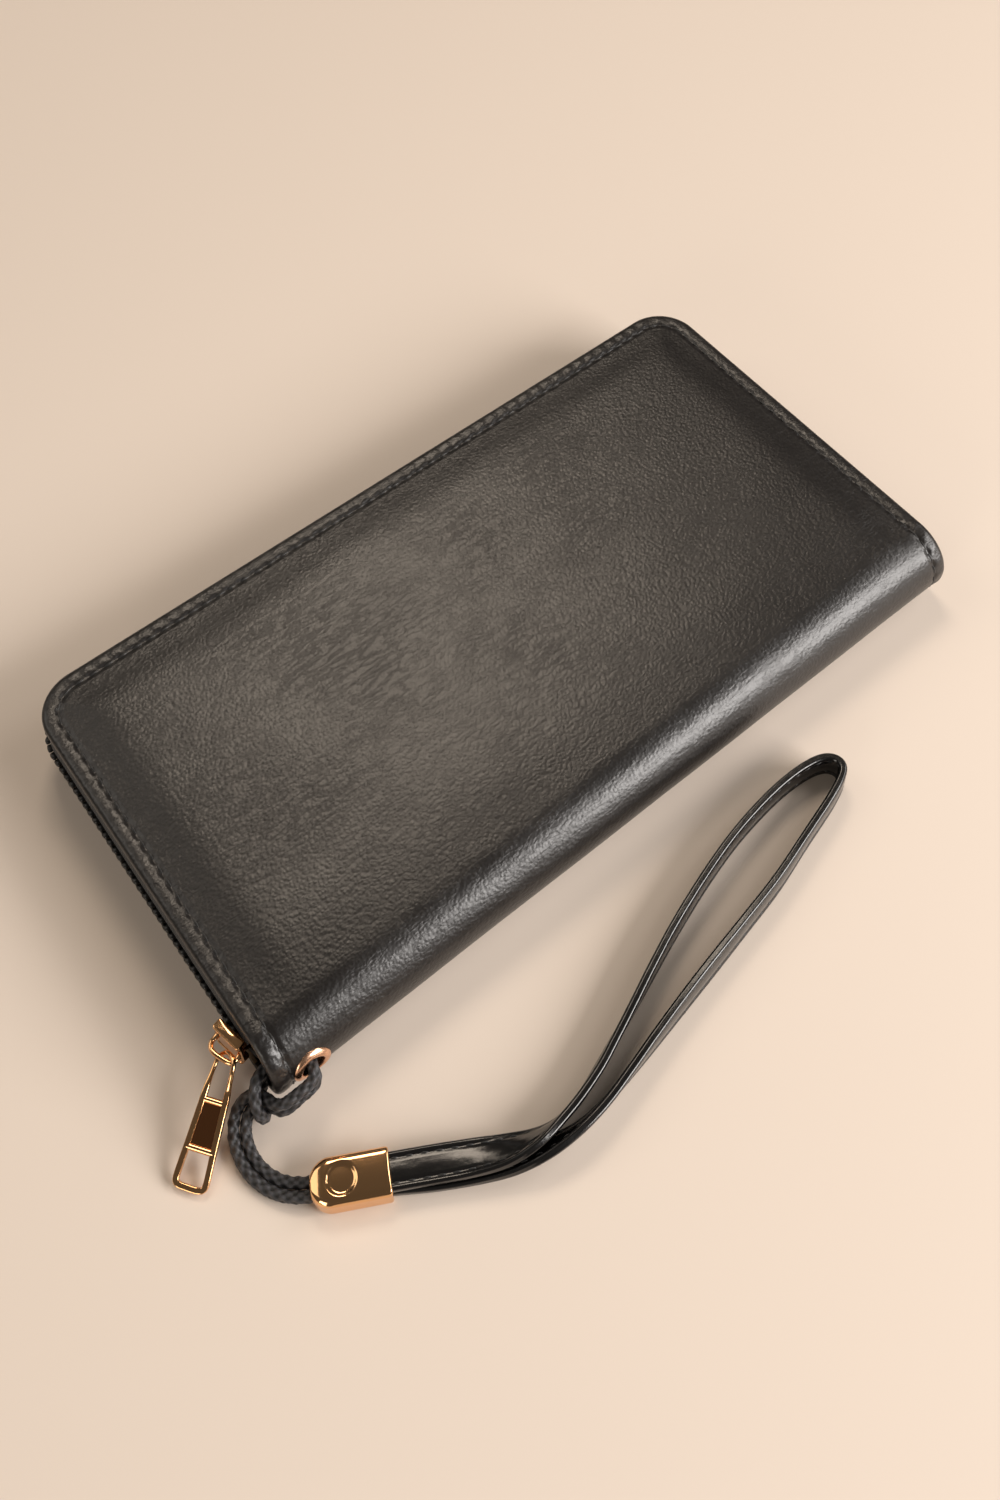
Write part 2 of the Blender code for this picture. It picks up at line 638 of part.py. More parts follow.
def pull_tab(parent, metal):
    """Pull tab: a wire loop that links the bridge, then a cast plate with a window at its end."""
    hinge, down, across, face = pull_frame()

    def at(d, a, f=0.0):
        return hinge + down * d + across * a + face * f

    top, end = PULL_LOOP_LEN - 2.4 * MM, PULL_LEN - PULL_END_IN
    w_top, w_end, t = PULL_TOP_W / 2, PULL_END_W / 2, PULL_T / 2
    bm = bmesh.new()
    outline = [
        (top, -w_top), (end - MM, -w_end), (end, -w_end + MM), (end, w_end - MM), (end - MM, w_end), (top, w_top),
    ]
    low = [bm.verts.new(at(d, a, -t)) for d, a in outline]
    high = [bm.verts.new(at(d, a, t)) for d, a in outline]
    bridge(bm, low, high)
    bm.faces.new(low)
    bm.faces.new(high)
    tab = add_object("pull_tab", bm, metal, parent)
    window_end = end - PULL_BORDER
    window_top = window_end - PULL_WINDOW
    bm = bmesh.new()
    grow = (w_end - w_top) / (end - top)
    in_top = w_top + grow * (window_top - top) - PULL_BORDER
    in_end = w_end - PULL_BORDER
    shape = [(window_top, -in_top), (window_end, -in_end), (window_end, in_end), (window_top, in_top)]
    low = [bm.verts.new(at(d, a, -t - MM)) for d, a in shape]
    high = [bm.verts.new(at(d, a, t + MM)) for d, a in shape]
    bridge(bm, low, high)
    bm.faces.new(low)
    bm.faces.new(high)
    cut(tab, bm, "pull_window")
    leg = w_top - PULL_WIRE / 2
    lift = PULL_CROSS
    loop = [
        at(top + 1.2 * MM, leg), at(top - 1.0 * MM, leg, 0.15 * lift), at(1.4 * MM, leg * 0.98, lift),
        at(-0.2 * MM, leg * 0.86, lift), at(-1.1 * MM, leg * 0.45, 0.6 * lift), at(-1.45 * MM, 0.0),
        at(-1.1 * MM, -leg * 0.45, -0.6 * lift), at(-0.2 * MM, -leg * 0.86, -lift), at(1.4 * MM, -leg * 0.98, -lift),
        at(top - 1.0 * MM, -leg, -0.15 * lift), at(top + 1.2 * MM, -leg),
    ]
    join(tab, tube(loop, PULL_WIRE / 2), "pull_loop")
    return tab


def eyelet(metal):
    """The flanged eyelet in the spine and the washer that it is set against inside."""
    x, wall = -HALF + EYELET_X, -WIDTH / 2
    inside = wall + 2.9 * MM
    top = wall - 0.1 * MM - EYELET_FLANGE
    od, bore, barrel = EYELET_OD / 2, EYELET_ID / 2, EYELET_BARREL / 2
    profile = [
        (bore, top + 0.2 * MM), (bore + 0.2 * MM, top), (od - 0.3 * MM, top), (od, top + 0.3 * MM),
        (od, top + EYELET_FLANGE), (barrel, top + EYELET_FLANGE), (barrel, inside), (bore, inside),
    ]
    add_object("eyelet", lathe(profile, (x, 0, MID_Z)), metal)
    hole = (EYELET_BARREL + 0.3 * MM) / 2
    y = SPINE_Y - math.sqrt((SPINE_R - LEATHER_T) ** 2 - od ** 2) + 0.1 * MM
    ring = [(hole, y), (od, y), (od, y + WASHER_T), (hole, y + WASHER_T)]
    add_object("eyelet_washer", lathe(ring, (x, 0, MID_Z)), metal)


def build():
    clear_scene()
    leather = material("wallet_leather", (0.028, 0.024, 0.022), 0.42)
    mats = {
        "board": material("backing_board", (0.25, 0.21, 0.16), 0.9),
        "lining": material("lining_fabric", (0.03, 0.028, 0.027), 0.75),
        "tape": material("zip_tape", (0.012, 0.012, 0.013), 0.8),
        "teeth": material("zip_teeth", (0.015, 0.015, 0.016), 0.35),
    }
    gold = material("rose_gold", (0.83, 0.54, 0.32), 0.16, 1.0)
    copper = material("eyelet_gold", (0.80, 0.52, 0.36), 0.28, 1.0)

    add_object("back_cover", cover(False), leather)
    spine = add_object("spine_cover", spine_cover(), leather)
    x = -HALF + EYELET_X
    hole = tube([(x, -WIDTH / 2 - 3 * MM, MID_Z), (x, -WIDTH / 2 + 3 * MM, MID_Z)], EYELET_HOLE / 2, 24)
    cut(spine, hole, "eyelet_hole")
    layers("back", False, None, mats)
    tab = box(
        HALF + TEETH_OUT + 0.2 * MM, HALF + TEETH_OUT + 0.2 * MM + TAB_T,
        SPINE_Y + TAB_Y - TAB_LEN, SPINE_Y + TAB_Y, MID_Z - TAB_H / 2, MID_Z + TAB_H / 2,
    )
    add_object("zip_end_tab", tab, leather)
    gusset("left", -1, mats["lining"])
    gusset("right", 1, mats["lining"])
    eyelet(copper)

    hinge = empty("cover_hinge", (0.0, HINGE_Y, HINGE_Z))
    add_object("front_cover", cover(True), leather, hinge)
    layers("front", True, hinge, mats)

    divider = empty("divider_hinge", (0.0, HINGE_Y, HINGE_Z))
    z0 = MID_Z - DIVIDER_POCKET / 2
    z1 = MID_Z + DIVIDER_POCKET / 2
    for name, low, high in (("divider_back_leaf", z0 - LEAF_T, z0), ("divider_front_leaf", z1, z1 + LEAF_T)):
        add_object(name, leaf(DIVIDER_SIDE, DIVIDER_FOOT, DIVIDER_TOP, low, high), mats["lining"], divider)

    slider = empty("slider_way", slider_frame()[0])
    zip_slider(slider, gold)
    pull = empty("pull_hinge", pull_frame()[0])
    pull_tab(pull, gold)

    cord = material("waxed_cord", (0.02, 0.019, 0.019), 0.6)
    wire("wrist_cord", cord_route(), CORD_D, cord)
    swing = empty("strap_hinge", CORNER + Vector(CORD_SWING) * MM)
    end_cap(swing, gold)
    strap(swing)
    bpy.context.view_layer.update()


build()
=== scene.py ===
"""Zip-around wristlet wallet: creased black leather on a rounded spine, nylon coil zip, rose-gold fittings,
a waxed cord in a lark's head through an eyelet, an end cap and a folded leather wrist strap.

Shapes are worked out in millimetres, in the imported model's frame, and go into meshes in metres.
"""

import math

import bpy
import numpy as np
from mathutils import Matrix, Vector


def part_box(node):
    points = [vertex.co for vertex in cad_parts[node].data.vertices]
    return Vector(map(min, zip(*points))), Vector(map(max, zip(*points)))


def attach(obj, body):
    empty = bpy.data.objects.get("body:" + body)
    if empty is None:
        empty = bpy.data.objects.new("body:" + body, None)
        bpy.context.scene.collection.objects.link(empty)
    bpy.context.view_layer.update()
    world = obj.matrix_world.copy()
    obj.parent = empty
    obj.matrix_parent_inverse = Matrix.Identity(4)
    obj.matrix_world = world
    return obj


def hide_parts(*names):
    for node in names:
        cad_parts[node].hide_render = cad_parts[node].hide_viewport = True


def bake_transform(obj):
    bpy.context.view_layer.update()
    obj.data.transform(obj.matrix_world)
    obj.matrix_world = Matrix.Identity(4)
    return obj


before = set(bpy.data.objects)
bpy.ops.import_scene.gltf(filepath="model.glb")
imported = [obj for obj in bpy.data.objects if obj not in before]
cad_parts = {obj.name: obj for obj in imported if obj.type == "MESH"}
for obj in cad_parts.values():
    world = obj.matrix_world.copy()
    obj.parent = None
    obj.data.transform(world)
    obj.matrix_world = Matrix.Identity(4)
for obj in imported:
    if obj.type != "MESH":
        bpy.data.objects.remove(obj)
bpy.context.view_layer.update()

MM = 0.001
PI = math.pi

# Sizes of the closed wallet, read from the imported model
HALF, FAR, TOP = (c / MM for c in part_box("front_cover")[1])
MID = TOP / 2
ROUND = TOP / 2
SPINE_Y = -FAR + ROUND
CORNER_R = 11.0
QUARTER = ROUND * PI / 2
SHEET_S = QUARTER + FAR - SPINE_Y
CORNER = np.array((-HALF, -FAR, 0.0))
AXIS_X, AXIS_Y, UP = np.eye(3)
# Edge work of the leather
STITCH_IN = 3.9
STITCH_PITCH = 3.7
THREAD_R = 0.24
# The wrist cord: radius, half the distance between its two strands, and its braid
CORD_R = 1.2
STRAND_OFF = 1.27
BRAID_PITCH = 2.5
BRAID_STRANDS = 4


# ---------------------------------------------------------------- camera, which comes first

def stand(obj, right, up, back, place):
    """Put a camera or a lamp in the scene at a place, with its three axes."""
    matrix = Matrix.Identity(4)
    for column, axis in enumerate((right, up, back, place)):
        for row in range(3):
            matrix[row][column] = axis[row]
    obj.matrix_world = matrix
    bpy.context.scene.collection.objects.link(obj)


def studio_camera():
    """A camera above the near left corner, looking down along the wallet at 45 degrees."""
    turn, lift, roll = (math.radians(a) for a in (-37.25, 44.73, -1.33))
    back = np.array((math.sin(turn) * math.cos(lift), -math.cos(turn) * math.cos(lift), math.sin(lift)))
    level = np.array((math.cos(turn), math.sin(turn), 0.0))
    rise = np.cross(back, level)
    right = math.cos(roll) * level + math.sin(roll) * rise
    up = math.cos(roll) * rise - math.sin(roll) * level
    place = (np.array((94.59, 119.01, 0.0)) + 532.22 * back) * MM
    data = bpy.data.cameras.new("studio_camera")
    data.lens, data.sensor_width = 41.95, 36.0
    data.shift_x, data.shift_y = -0.0045, -0.3495
    data.clip_start, data.clip_end = 0.01, 20.0
    camera = bpy.data.objects.new("studio_camera", data)
    stand(camera, right, up, back, place)
    bpy.context.scene.camera = camera


# ---------------------------------------------------------------- meshes from arrays

def build(name, points, faces, mat, body, uv=None):
    """Points (n, 3) in mm and lists of faces become one closed object, turned to face out.

    uv holds one (u, v) for each face corner or for each point; a piece without one gets (x + z, y + z).
    Signed volume = sum of the faces' fans a . (b x c) / 6. A piece with no body is left without a parent.
    """
    points = np.asarray(points, float)
    sizes = np.array([len(f) for f in faces])
    flat = np.concatenate([np.asarray(f) for f in faces])
    starts = np.cumsum(sizes) - sizes
    if uv is None:
        uv = np.stack([points[:, 0] + points[:, 2], points[:, 1] + points[:, 2]], -1) / 100
    uv = np.asarray(uv, float)
    uv = uv if len(uv) == len(flat) else uv[flat]
    points = points * MM
    first = np.repeat(starts, sizes)
    corner = np.arange(len(flat))
    ahead = corner + 1
    ahead[starts + sizes - 1] = starts
    fans = np.cross(points[flat], points[flat[ahead]])
    if np.einsum("ij,ij->i", points[flat[first]], fans).sum() < 0:
        turned = 2 * first + np.repeat(sizes, sizes) - 1 - corner
        flat, uv = flat[turned], uv[turned]
    mesh = bpy.data.meshes.new(name)
    mesh.vertices.add(len(points))
    mesh.vertices.foreach_set("co", points.ravel())
    mesh.loops.add(len(flat))
    mesh.loops.foreach_set("vertex_index", flat.astype(np.int32))
    mesh.polygons.add(len(sizes))
    mesh.polygons.foreach_set("loop_start", starts.astype(np.int32))
    mesh.uv_layers.new(name="run").uv.foreach_set("vector", uv.ravel())
    mesh.update(calc_edges=True)
    mesh.validate()
    mesh.polygons.foreach_set("use_smooth", np.full(len(mesh.polygons), True))
    mesh.set_sharp_from_angle(angle=math.radians(50.0))
    mesh.materials.append(mat)
    obj = bpy.data.objects.new(name, mesh)
    bpy.context.scene.collection.objects.link(obj)
    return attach(obj, body) if body else obj


def paint_node(name, mat):
    """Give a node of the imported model, which is kept as it is, a material."""
    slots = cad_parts[name].data.materials
    slots.clear()
    slots.append(mat)


def quads(index):
    """Quads (n, 4) between the neighbouring rows and columns of a grid of vertex numbers."""
    return np.stack([index[:-1, :-1], index[1:, :-1], index[1:, 1:], index[:-1, 1:]], -1).reshape(-1, 4)


def ring_index(rows, columns):
    """Vertex numbers of a grid, with the first column again at the end, where it closes."""
    index = np.arange(rows * columns).reshape(rows, columns)
    return np.hstack([index, index[:, :1]])


def tube(name, rings, mat, body, uv=None, loop=False):
    """Rings (n, m, 3) joined into a tube, with a face on each end, or closed on itself with loop."""
    rows, columns = rings.shape[:2]
    index = ring_index(rows, columns)
    if loop:
        index = np.vstack([index, index[:1]])
    faces = list(quads(index))
    corner_uv = None
    if uv is not None:
        u, v = np.broadcast_arrays(uv[0][:, None], uv[1][None, :])
        grid = np.stack([u, v], -1)
        corner_uv = np.stack([grid[:-1, :-1], grid[1:, :-1], grid[1:, 1:], grid[:-1, 1:]], 2).reshape(-1, 2)
    if not loop:
        faces += [index[0, :-1][::-1], index[-1, :-1]]
        if corner_uv is not None:
            corner_uv = np.vstack([corner_uv, grid[0, :-1][::-1], grid[-1, :-1]])
    return build(name, rings.reshape(-1, 3), faces, mat, body, corner_uv)


def many_grids(points):
    """Points and faces of many closed 6 by 8 grids, (count, 6, 8, 3), each with a face on both its ends."""
    shift = np.arange(len(points))[:, None] * 48
    one = ring_index(6, 8)
    sides = (quads(one)[None] + shift[..., None]).reshape(-1, 4)
    ends = np.concatenate([one[0, :-1][::-1] + shift, one[-1, :-1] + shift])
    return points.reshape(-1, 3), list(sides) + list(ends)


def smooth_route(points, per):
    """A smooth curve through the points: Catmull-Rom cubics, per samples a span, all columns carried."""
    p = np.asarray(points, float)
    p = np.vstack([2 * p[0] - p[1], p, 2 * p[-1] - p[-2]])
    t = (np.arange(per) / per)[None, :, None]
    a, b, c, d = (p[i:len(p) - 3 + i, None, :] for i in range(4))
    q = 0.5 * (2 * b + (c - a) * t + (2 * a - 5 * b + 4 * c - d) * t ** 2 + (3 * b - a - 3 * c + d) * t ** 3)
    return np.vstack([q.reshape(-1, p.shape[1]), p[-2]])


def unit(v):
    """Vectors scaled to length one."""
    return v / np.linalg.norm(v, axis=-1, keepdims=True)


def run_of(path):
    """Distance along a path at each of its points."""
    return np.concatenate([[0.0], np.cumsum(np.linalg.norm(np.diff(path, axis=0), axis=1))])


def closed_run(outline):
    """Distance round a closed outline, back to its first point."""
    return run_of(np.vstack([outline, outline[:1]]))


def at_run(at, run, values):
    """The rows of values, given at the distances run, as they are at the distances at."""
    return np.stack([np.interp(at, run, column) for column in values.T], -1)


def frames_along(path):
    """Normal and binormal along a path, each normal being the last one made square to the tangent."""
    tangent = unit(np.gradient(path, axis=0))
    normal = np.empty_like(path)
    last = np.cross(tangent[0], (0.3, 0.2, 1.0))
    for i, t in enumerate(tangent):
        last = last - t * (last @ t)
        last = last / np.linalg.norm(last)
        normal[i] = last
    return normal, np.cross(tangent, normal)


def wire_rings(path, radius, sides=16):
    """Rings square to the path, p + r (cos a n + sin a b); r is one, one a ring, or one a point."""
    normal, binormal = frames_along(path)
    a = (np.arange(sides) * 2 * PI / sides)[None, :, None]
    radius = np.broadcast_to(np.transpose(radius), (sides, len(path))).T[..., None]
    return path[:, None] + radius * (np.cos(a) * normal[:, None] + np.sin(a) * binormal[:, None])


def rounded_rect(half_w, half_h, r, per=8, straight=12):
    """Points round a rectangle with corner radius r, (rows, n, 2); the sizes may be arrays of rows."""
    half_w, half_h, r = (np.atleast_1d(v).astype(float)[:, None] for v in (half_w, half_h, r))
    r = np.minimum(r, np.minimum(half_w, half_h) * 0.98)
    turn = np.concatenate([np.linspace(k * PI / 2, (k + 1) * PI / 2, per) for k in range(4)])
    sx = np.repeat((1, -1, -1, 1), per)
    sy = np.repeat((1, 1, -1, -1), per)
    x = (half_w - r) * sx + r * np.cos(turn)
    y = (half_h - r) * sy + r * np.sin(turn)
    points = np.stack(np.broadcast_arrays(x, y), -1)
    share = (np.arange(1, straight) / straight)[None, :, None]
    parts = []
    for k in range(4):
        here, ahead = points[:, (k + 1) * per - 1, None], points[:, (k + 1) * per % (4 * per), None]
        parts += [points[:, k * per:(k + 1) * per], here + (ahead - here) * share]
    return np.concatenate(parts, 1)


def slab(name, outline, low, high, edge, mat, body, place=None, crown=0.0):
    """A flat plate over a convex outline, its edges rounded: each ring is the outline moved in by
    edge (1 - cos a) and up by edge sin a; place turns plate coordinates into the model's."""
    outline = np.asarray(outline, float)
    ahead = unit(np.roll(outline, -1, 0) - np.roll(outline, 1, 0))
    inward = np.stack([-ahead[:, 1], ahead[:, 0]], -1)
    if np.cross(outline, np.roll(outline, -1, 0)).sum() < 0:
        inward = -inward
    a = np.linspace(0, PI / 2, 5)
    move = np.concatenate([(edge * (1 - np.cos(a)))[::-1], edge * (1 - np.cos(a))])
    height = np.concatenate([(low + edge * (1 - np.sin(a)))[::-1], high - edge * (1 - np.sin(a))])
    flat = outline[None] + inward[None] * move[:, None, None]
    centre = outline.mean(0)
    inner = [centre + (flat[-1] - centre) * share for share in (0.7, 0.35, 0.05)]
    rings = np.concatenate([np.stack(inner[::-1]), flat, np.stack(inner)])
    lifts = np.concatenate([[low] * 3, height, [high + crown * q for q in (0.5, 0.9, 1.0)]])
    points = np.concatenate([rings, np.broadcast_to(lifts[:, None, None], (*rings.shape[:2], 1))], -1)
    if place is not None:
        origin, along, across, out = place
        points = origin + points[..., :1] * along + points[..., 1:2] * across + points[..., 2:] * out
    return tube(name, points, mat, body)


def capsules(centres, along, out, length, radius, lift=0.0):
    """Small rounded bars (stitches): along x + radius sqrt(sin pi t) (cos a out + sin a side), ends sunk."""
    t = np.linspace(0.06, 0.94, 6)
    a = (np.arange(8) * PI / 4)[None, None, :, None]
    side = np.cross(along, out)
    width = (np.sin(PI * t) ** 0.5)[None, :, None, None]
    ring = width * radius * (np.cos(a) * out[:, None, None] + np.sin(a) * side[:, None, None])
    middle = centres + out * lift
    line = middle[:, None] + along[:, None] * (length * (t - 0.5))[None, :, None]
    sink = out[:, None] * (-radius * 1.1 * (1 - np.sin(PI * t)))[None, :, None]
    return many_grids((line + sink)[:, :, None] + ring)


# ---------------------------------------------------------------- materials

def tint(code):
    """sRGB hex to linear RGBA: ((c + 0.055) / 1.055) ^ 2.4 above the toe, c / 12.92 below it."""
    c = [int(code[i:i + 2], 16) / 255 for i in (1, 3, 5)]
    return (*(v / 12.92 if v <= 0.04045 else ((v + 0.055) / 1.055) ** 2.4 for v in c), 1.0)


def put(tree, kind, settings=None, **links):
    """Add a node; settings are properties or socket values, links are sockets by name (_ for a space)."""
    node = tree.nodes.new("ShaderNode" + kind)
    for key, value in (settings or {}).items():
        if isinstance(key, str) and hasattr(node, key):
            setattr(node, key, value)
        else:
            node.inputs[key].default_value = value
    for key, output in links.items():
        tree.links.new(output, node.inputs[int(key[1:]) if key[1:].isdigit() else key.replace("_", " ")])
    return node


def surface(name, color, roughness, **values):
    """A Principled material with its constants on the sockets; returns it, its tree and its shader."""
    mat = bpy.data.materials.new(name)
    mat.use_nodes = True
    tree = mat.node_tree
    shader = tree.nodes["Principled BSDF"]
    shader.inputs["Base Color"].default_value = tint(color)
    shader.inputs["Roughness"].default_value = roughness
    for key, value in values.items():
        shader.inputs[key.replace("_", " ")].default_value = value
    return mat, tree, shader


def noise(tree, where, scale, detail, rough=0.5, output="Fac"):
    """A Noise Texture's output at the coordinates where."""
    return put(tree, "TexNoise", {"Scale": scale, "Detail": detail, "Roughness": rough}, Vector=where).outputs[output]


def bump(tree, strength, distance, height, under=None):
    """A Bump node's normal, over the normal of another one."""
    links = {"Normal": under} if under else {}
    return put(tree, "Bump", {"Strength": strength, "Distance": distance}, Height=height, **links).outputs["Normal"]


def colour(tree, shader, low, high, factor):
    """The base colour goes from low to high with the factor."""
    shade = put(tree, "Mix", {"data_type": "RGBA", 6: tint(low), 7: tint(high)}, _0=factor)
    tree.links.new(shade.outputs[2], shader.inputs["Base Color"])


def polish(tree, shader, low, high, factor):
    """The roughness goes from low to high with the factor."""
    span = put(tree, "MapRange", {"To Min": low, "To Max": high}, Value=factor)
    tree.links.new(span.outputs[0], shader.inputs["Roughness"])


def millimetres(tree, from_run=False):
    """Coordinates in millimetres: the piece's own run map (metres x 10) or its Object coordinates."""
    where = put(tree, "TexCoord").outputs["UV" if from_run else "Object"]
    size = 100.0 if from_run else 1000.0
    return put(tree, "Mapping", {"Scale": (size, size, size)}, Vector=where).outputs["Vector"]


def wallet_leather():
    """Corrected-grain cowhide, black, plated and lightly waxed: a tight pebble 0.5 mm across under long
    creases that run with the wallet's length, 1.5 mm apart, and a semi-gloss that breaks up on both."""
    mat, tree, shader = surface("black_plated_cowhide", "#0f0d0c", 0.36, IOR=1.5,
                                Coat_Weight=0.2, Coat_Roughness=0.24)
    mm = millimetres(tree, True)
    pebble = put(tree, "TexVoronoi", {"feature": "SMOOTH_F1", "Scale": 1.3, "Smoothness": 0.5}, Vector=mm)
    fine = noise(tree, mm, 2.6, 3.0, 0.6)
    long = put(tree, "Mapping", {"Scale": (0.13, 0.62, 1.0), "Rotation": (0.0, 0.0, 0.10)}, Vector=mm)
    drift = noise(tree, mm, 0.16, 2.0, output="Color")
    bent = put(tree, "VectorMath", {"operation": "MULTIPLY_ADD", 1: (0.6, 1.1, 0.0)},
               _0=drift, _2=long.outputs["Vector"]).outputs["Vector"]
    crease = noise(tree, bent, 1.0, 4.0, 0.62)
    off = put(tree, "Math", {"operation": "SUBTRACT", 1: 0.5}, _0=crease)
    fold = put(tree, "Math", {"operation": "ABSOLUTE"}, _0=off.outputs[0])
    line = put(tree, "MapRange", {"From Max": 0.055, "interpolation_type": "SMOOTHSTEP"},
               Value=fold.outputs[0])
    patch = noise(tree, mm, 0.035, 2.0)
    worn = put(tree, "MapRange", {"From Min": 0.42, "From Max": 0.62, "To Min": 0.45, "To Max": 1.0}, Value=patch)
    deep = put(tree, "Math", {"operation": "MULTIPLY"}, _0=line.outputs[0], _1=worn.outputs[0])
    wide = noise(tree, long.outputs["Vector"], 0.22, 2.0)
    normal = bump(tree, 0.20, 0.00035, wide)
    normal = bump(tree, 0.27, 0.00010, deep.outputs[0], normal)
    normal = bump(tree, 0.5, 0.00012, pebble.outputs["Distance"], normal)
    normal = bump(tree, 0.22, 0.00006, fine, normal)
    tree.links.new(normal, shader.inputs["Normal"])
    tree.links.new(normal, shader.inputs["Coat Normal"])
    polish(tree, shader, 0.31, 0.43, patch)
    colour(tree, shader, "#0c0a0a", "#181412", patch)
    return mat


def strap_leather():
    """Thin glazed calf folded round a core: almost smooth, glossier than the covers, with a faint pore."""
    mat, tree, shader = surface("black_glazed_calf", "#0b0a0a", 0.24, IOR=1.5,
                                Coat_Weight=0.35, Coat_Roughness=0.14)
    mm = millimetres(tree)
    pore = put(tree, "TexVoronoi", {"Scale": 2.4}, Vector=mm)
    pull = noise(tree, mm, 0.35, 3.0)
    wavy = bump(tree, 0.35, 0.0003, pull)
    tree.links.new(bump(tree, 0.16, 0.00005, pore.outputs["Distance"], wavy), shader.inputs["Normal"])
    return mat


def bonded_thread():
    """Bonded black polyester sewing thread, 0.5 mm: twisted, low sheen."""
    mat, tree, shader = surface("bonded_black_thread", "#131212", 0.42, Sheen_Weight=0.15)
    twist = put(tree, "TexWave", {"Scale": 0.9, "bands_direction": "DIAGONAL"}, Vector=millimetres(tree))
    tree.links.new(bump(tree, 0.3, 0.00005, twist.outputs["Fac"]), shader.inputs["Normal"])
    return mat


def coil_nylon():
    """Moulded black nylon coil: hard, with a dull shine on each rounded head."""
    mat, tree, shader = surface("moulded_black_nylon", "#121212", 0.34, IOR=1.53)
    rub = noise(tree, millimetres(tree), 1.2, 2.0)
    polish(tree, shader, 0.26, 0.48, rub)
    return mat


def woven(name, low, high, pitch, roughness, relief):
    """A plain black weave: warp times weft, sin(2 pi x / pitch) sin(2 pi y / pitch), and the same up z."""
    mat, tree, shader = surface(name, high, roughness, Sheen_Weight=0.25, Sheen_Roughness=0.5)
    mm = millimetres(tree)
    warp, weft, rise = (put(tree, "TexWave", {"Scale": 0.314 / pitch, "bands_direction": axis}, Vector=mm)
                        for axis in "XYZ")
    cross = put(tree, "Math", {"operation": "MULTIPLY"}, _0=warp.outputs["Fac"], _1=weft.outputs["Fac"])
    cloth = put(tree, "Math", {"operation": "ADD"}, _0=cross.outputs[0], _1=rise.outputs["Fac"])
    colour(tree, shader, low, high, cross.outputs[0])
    tree.links.new(bump(tree, 0.5, relief, cloth.outputs[0]), shader.inputs["Normal"])
    return mat


def plated(name, color, roughness, wave):
    """Cast zinc, tumbled and plated: near-mirror, with faint tumbling waves and fine handling rub."""
    mat, tree, shader = surface(name, color, roughness, Metallic=1.0)
    mm = millimetres(tree)
    tumble = noise(tree, mm, 0.5, 2.0)
    rub = noise(tree, mm, 3.0, 4.0, 0.7)
    tree.links.new(bump(tree, wave, 0.0002, tumble), shader.inputs["Normal"])
    polish(tree, shader, roughness * 0.75, roughness * 1.4, rub)
    return mat


def waxed_cotton():
    """Braided cotton cord, dyed black and waxed: strands about 1 mm wide that cross, dull, with a painted highlight
    on their crowns and painted shade in the gaps between. The crowns follow the braid's own cos(4a) cos(ks)."""
    mat, tree, shader = surface("waxed_black_cotton", "#1b1b1c", 0.5,
                                Sheen_Weight=0.06, Sheen_Roughness=0.4)
    mm = millimetres(tree, True)
    turns = put(tree, "Mapping", {"Scale": (2 * PI / BRAID_PITCH, BRAID_STRANDS / CORD_R, 1.0)}, Vector=mm)
    part = put(tree, "SeparateXYZ", Vector=turns.outputs["Vector"])
    ahead = put(tree, "Math", {"operation": "COSINE"}, _0=part.outputs["X"])
    round_it = put(tree, "Math", {"operation": "COSINE"}, _0=part.outputs["Y"])
    crown = put(tree, "Math", {"operation": "MULTIPLY"}, _0=ahead.outputs[0], _1=round_it.outputs[0])
    fuzz = noise(tree, millimetres(tree), 5.0, 4.0, 0.7)
    lie = put(tree, "Math", {"operation": "MULTIPLY_ADD", 1: 0.8},
              _0=fuzz, _2=crown.outputs[0]).outputs[0]
    tree.links.new(bump(tree, 0.6, 0.00016, lie), shader.inputs["Normal"])
    # The base colour follows the braid's height: painted shade in the gaps, a painted highlight on the crowns
    crown_shading = put(tree, "MapRange", {"From Min": -0.35, "From Max": 0.9}, Value=lie)
    colour(tree, shader, "#050505", "#363538", crown_shading.outputs[0])
    return mat


def grey_board():
    """Grey bookbinder's board, pressed: matt and faintly mottled."""
    mat, tree, shader = surface("grey_binders_board", "#8d857a", 0.9)
    mottle = noise(tree, millimetres(tree), 0.8, 5.0)
    colour(tree, shader, "#7c7469", "#9a9287", mottle)
    return mat


def painted_floor_reflection():
    """A painted reflection of the pale floor, dull tan, on a thin strip under the turned leather's rim, mottled
    darker and lighter by noise.
    """
    mat, tree, shader = surface("tan_cut_edge", "#6b5a46", 0.6)
    reflection_mottle = noise(tree, millimetres(tree), 2.0, 4.0)
    colour(tree, shader, "#3a2f24", "#8c775c", reflection_mottle)
    return mat


def pale_floor():
    """Matt pale painted board for the studio floor."""
    return surface("matt_pale_paint", "#d8cabd", 0.6)[0]


studio_camera()
LEATHER = wallet_leather()
STRAP = strap_leather()
THREAD = bonded_thread()
COIL = coil_nylon()
TAPE = woven("black_zip_tape", "#0b0b0b", "#1c1b1b", 0.8, 0.8, 0.00012)
LINING = woven("black_lining_twill", "#101010", "#232120", 0.6, 0.7, 0.00008)
GOLD = plated("rose_gold_plate_polished", "#eebb87", 0.10, 0.06)
INLAY = plated("rose_gold_plate_deep", "#a8714a", 0.16, 0.10)
EYELET_METAL = plated("copper_gold_plate_satin", "#e8b796", 0.24, 0.05)
CORD = waxed_cotton()
BOARD = grey_board()
# Tan colour for the strip under the leather's rim: a painted reflection of the pale floor
FLOOR_REFLECTION_MAT = painted_floor_reflection()


# ---------------------------------------------------------------- wrist cord, first of the pieces

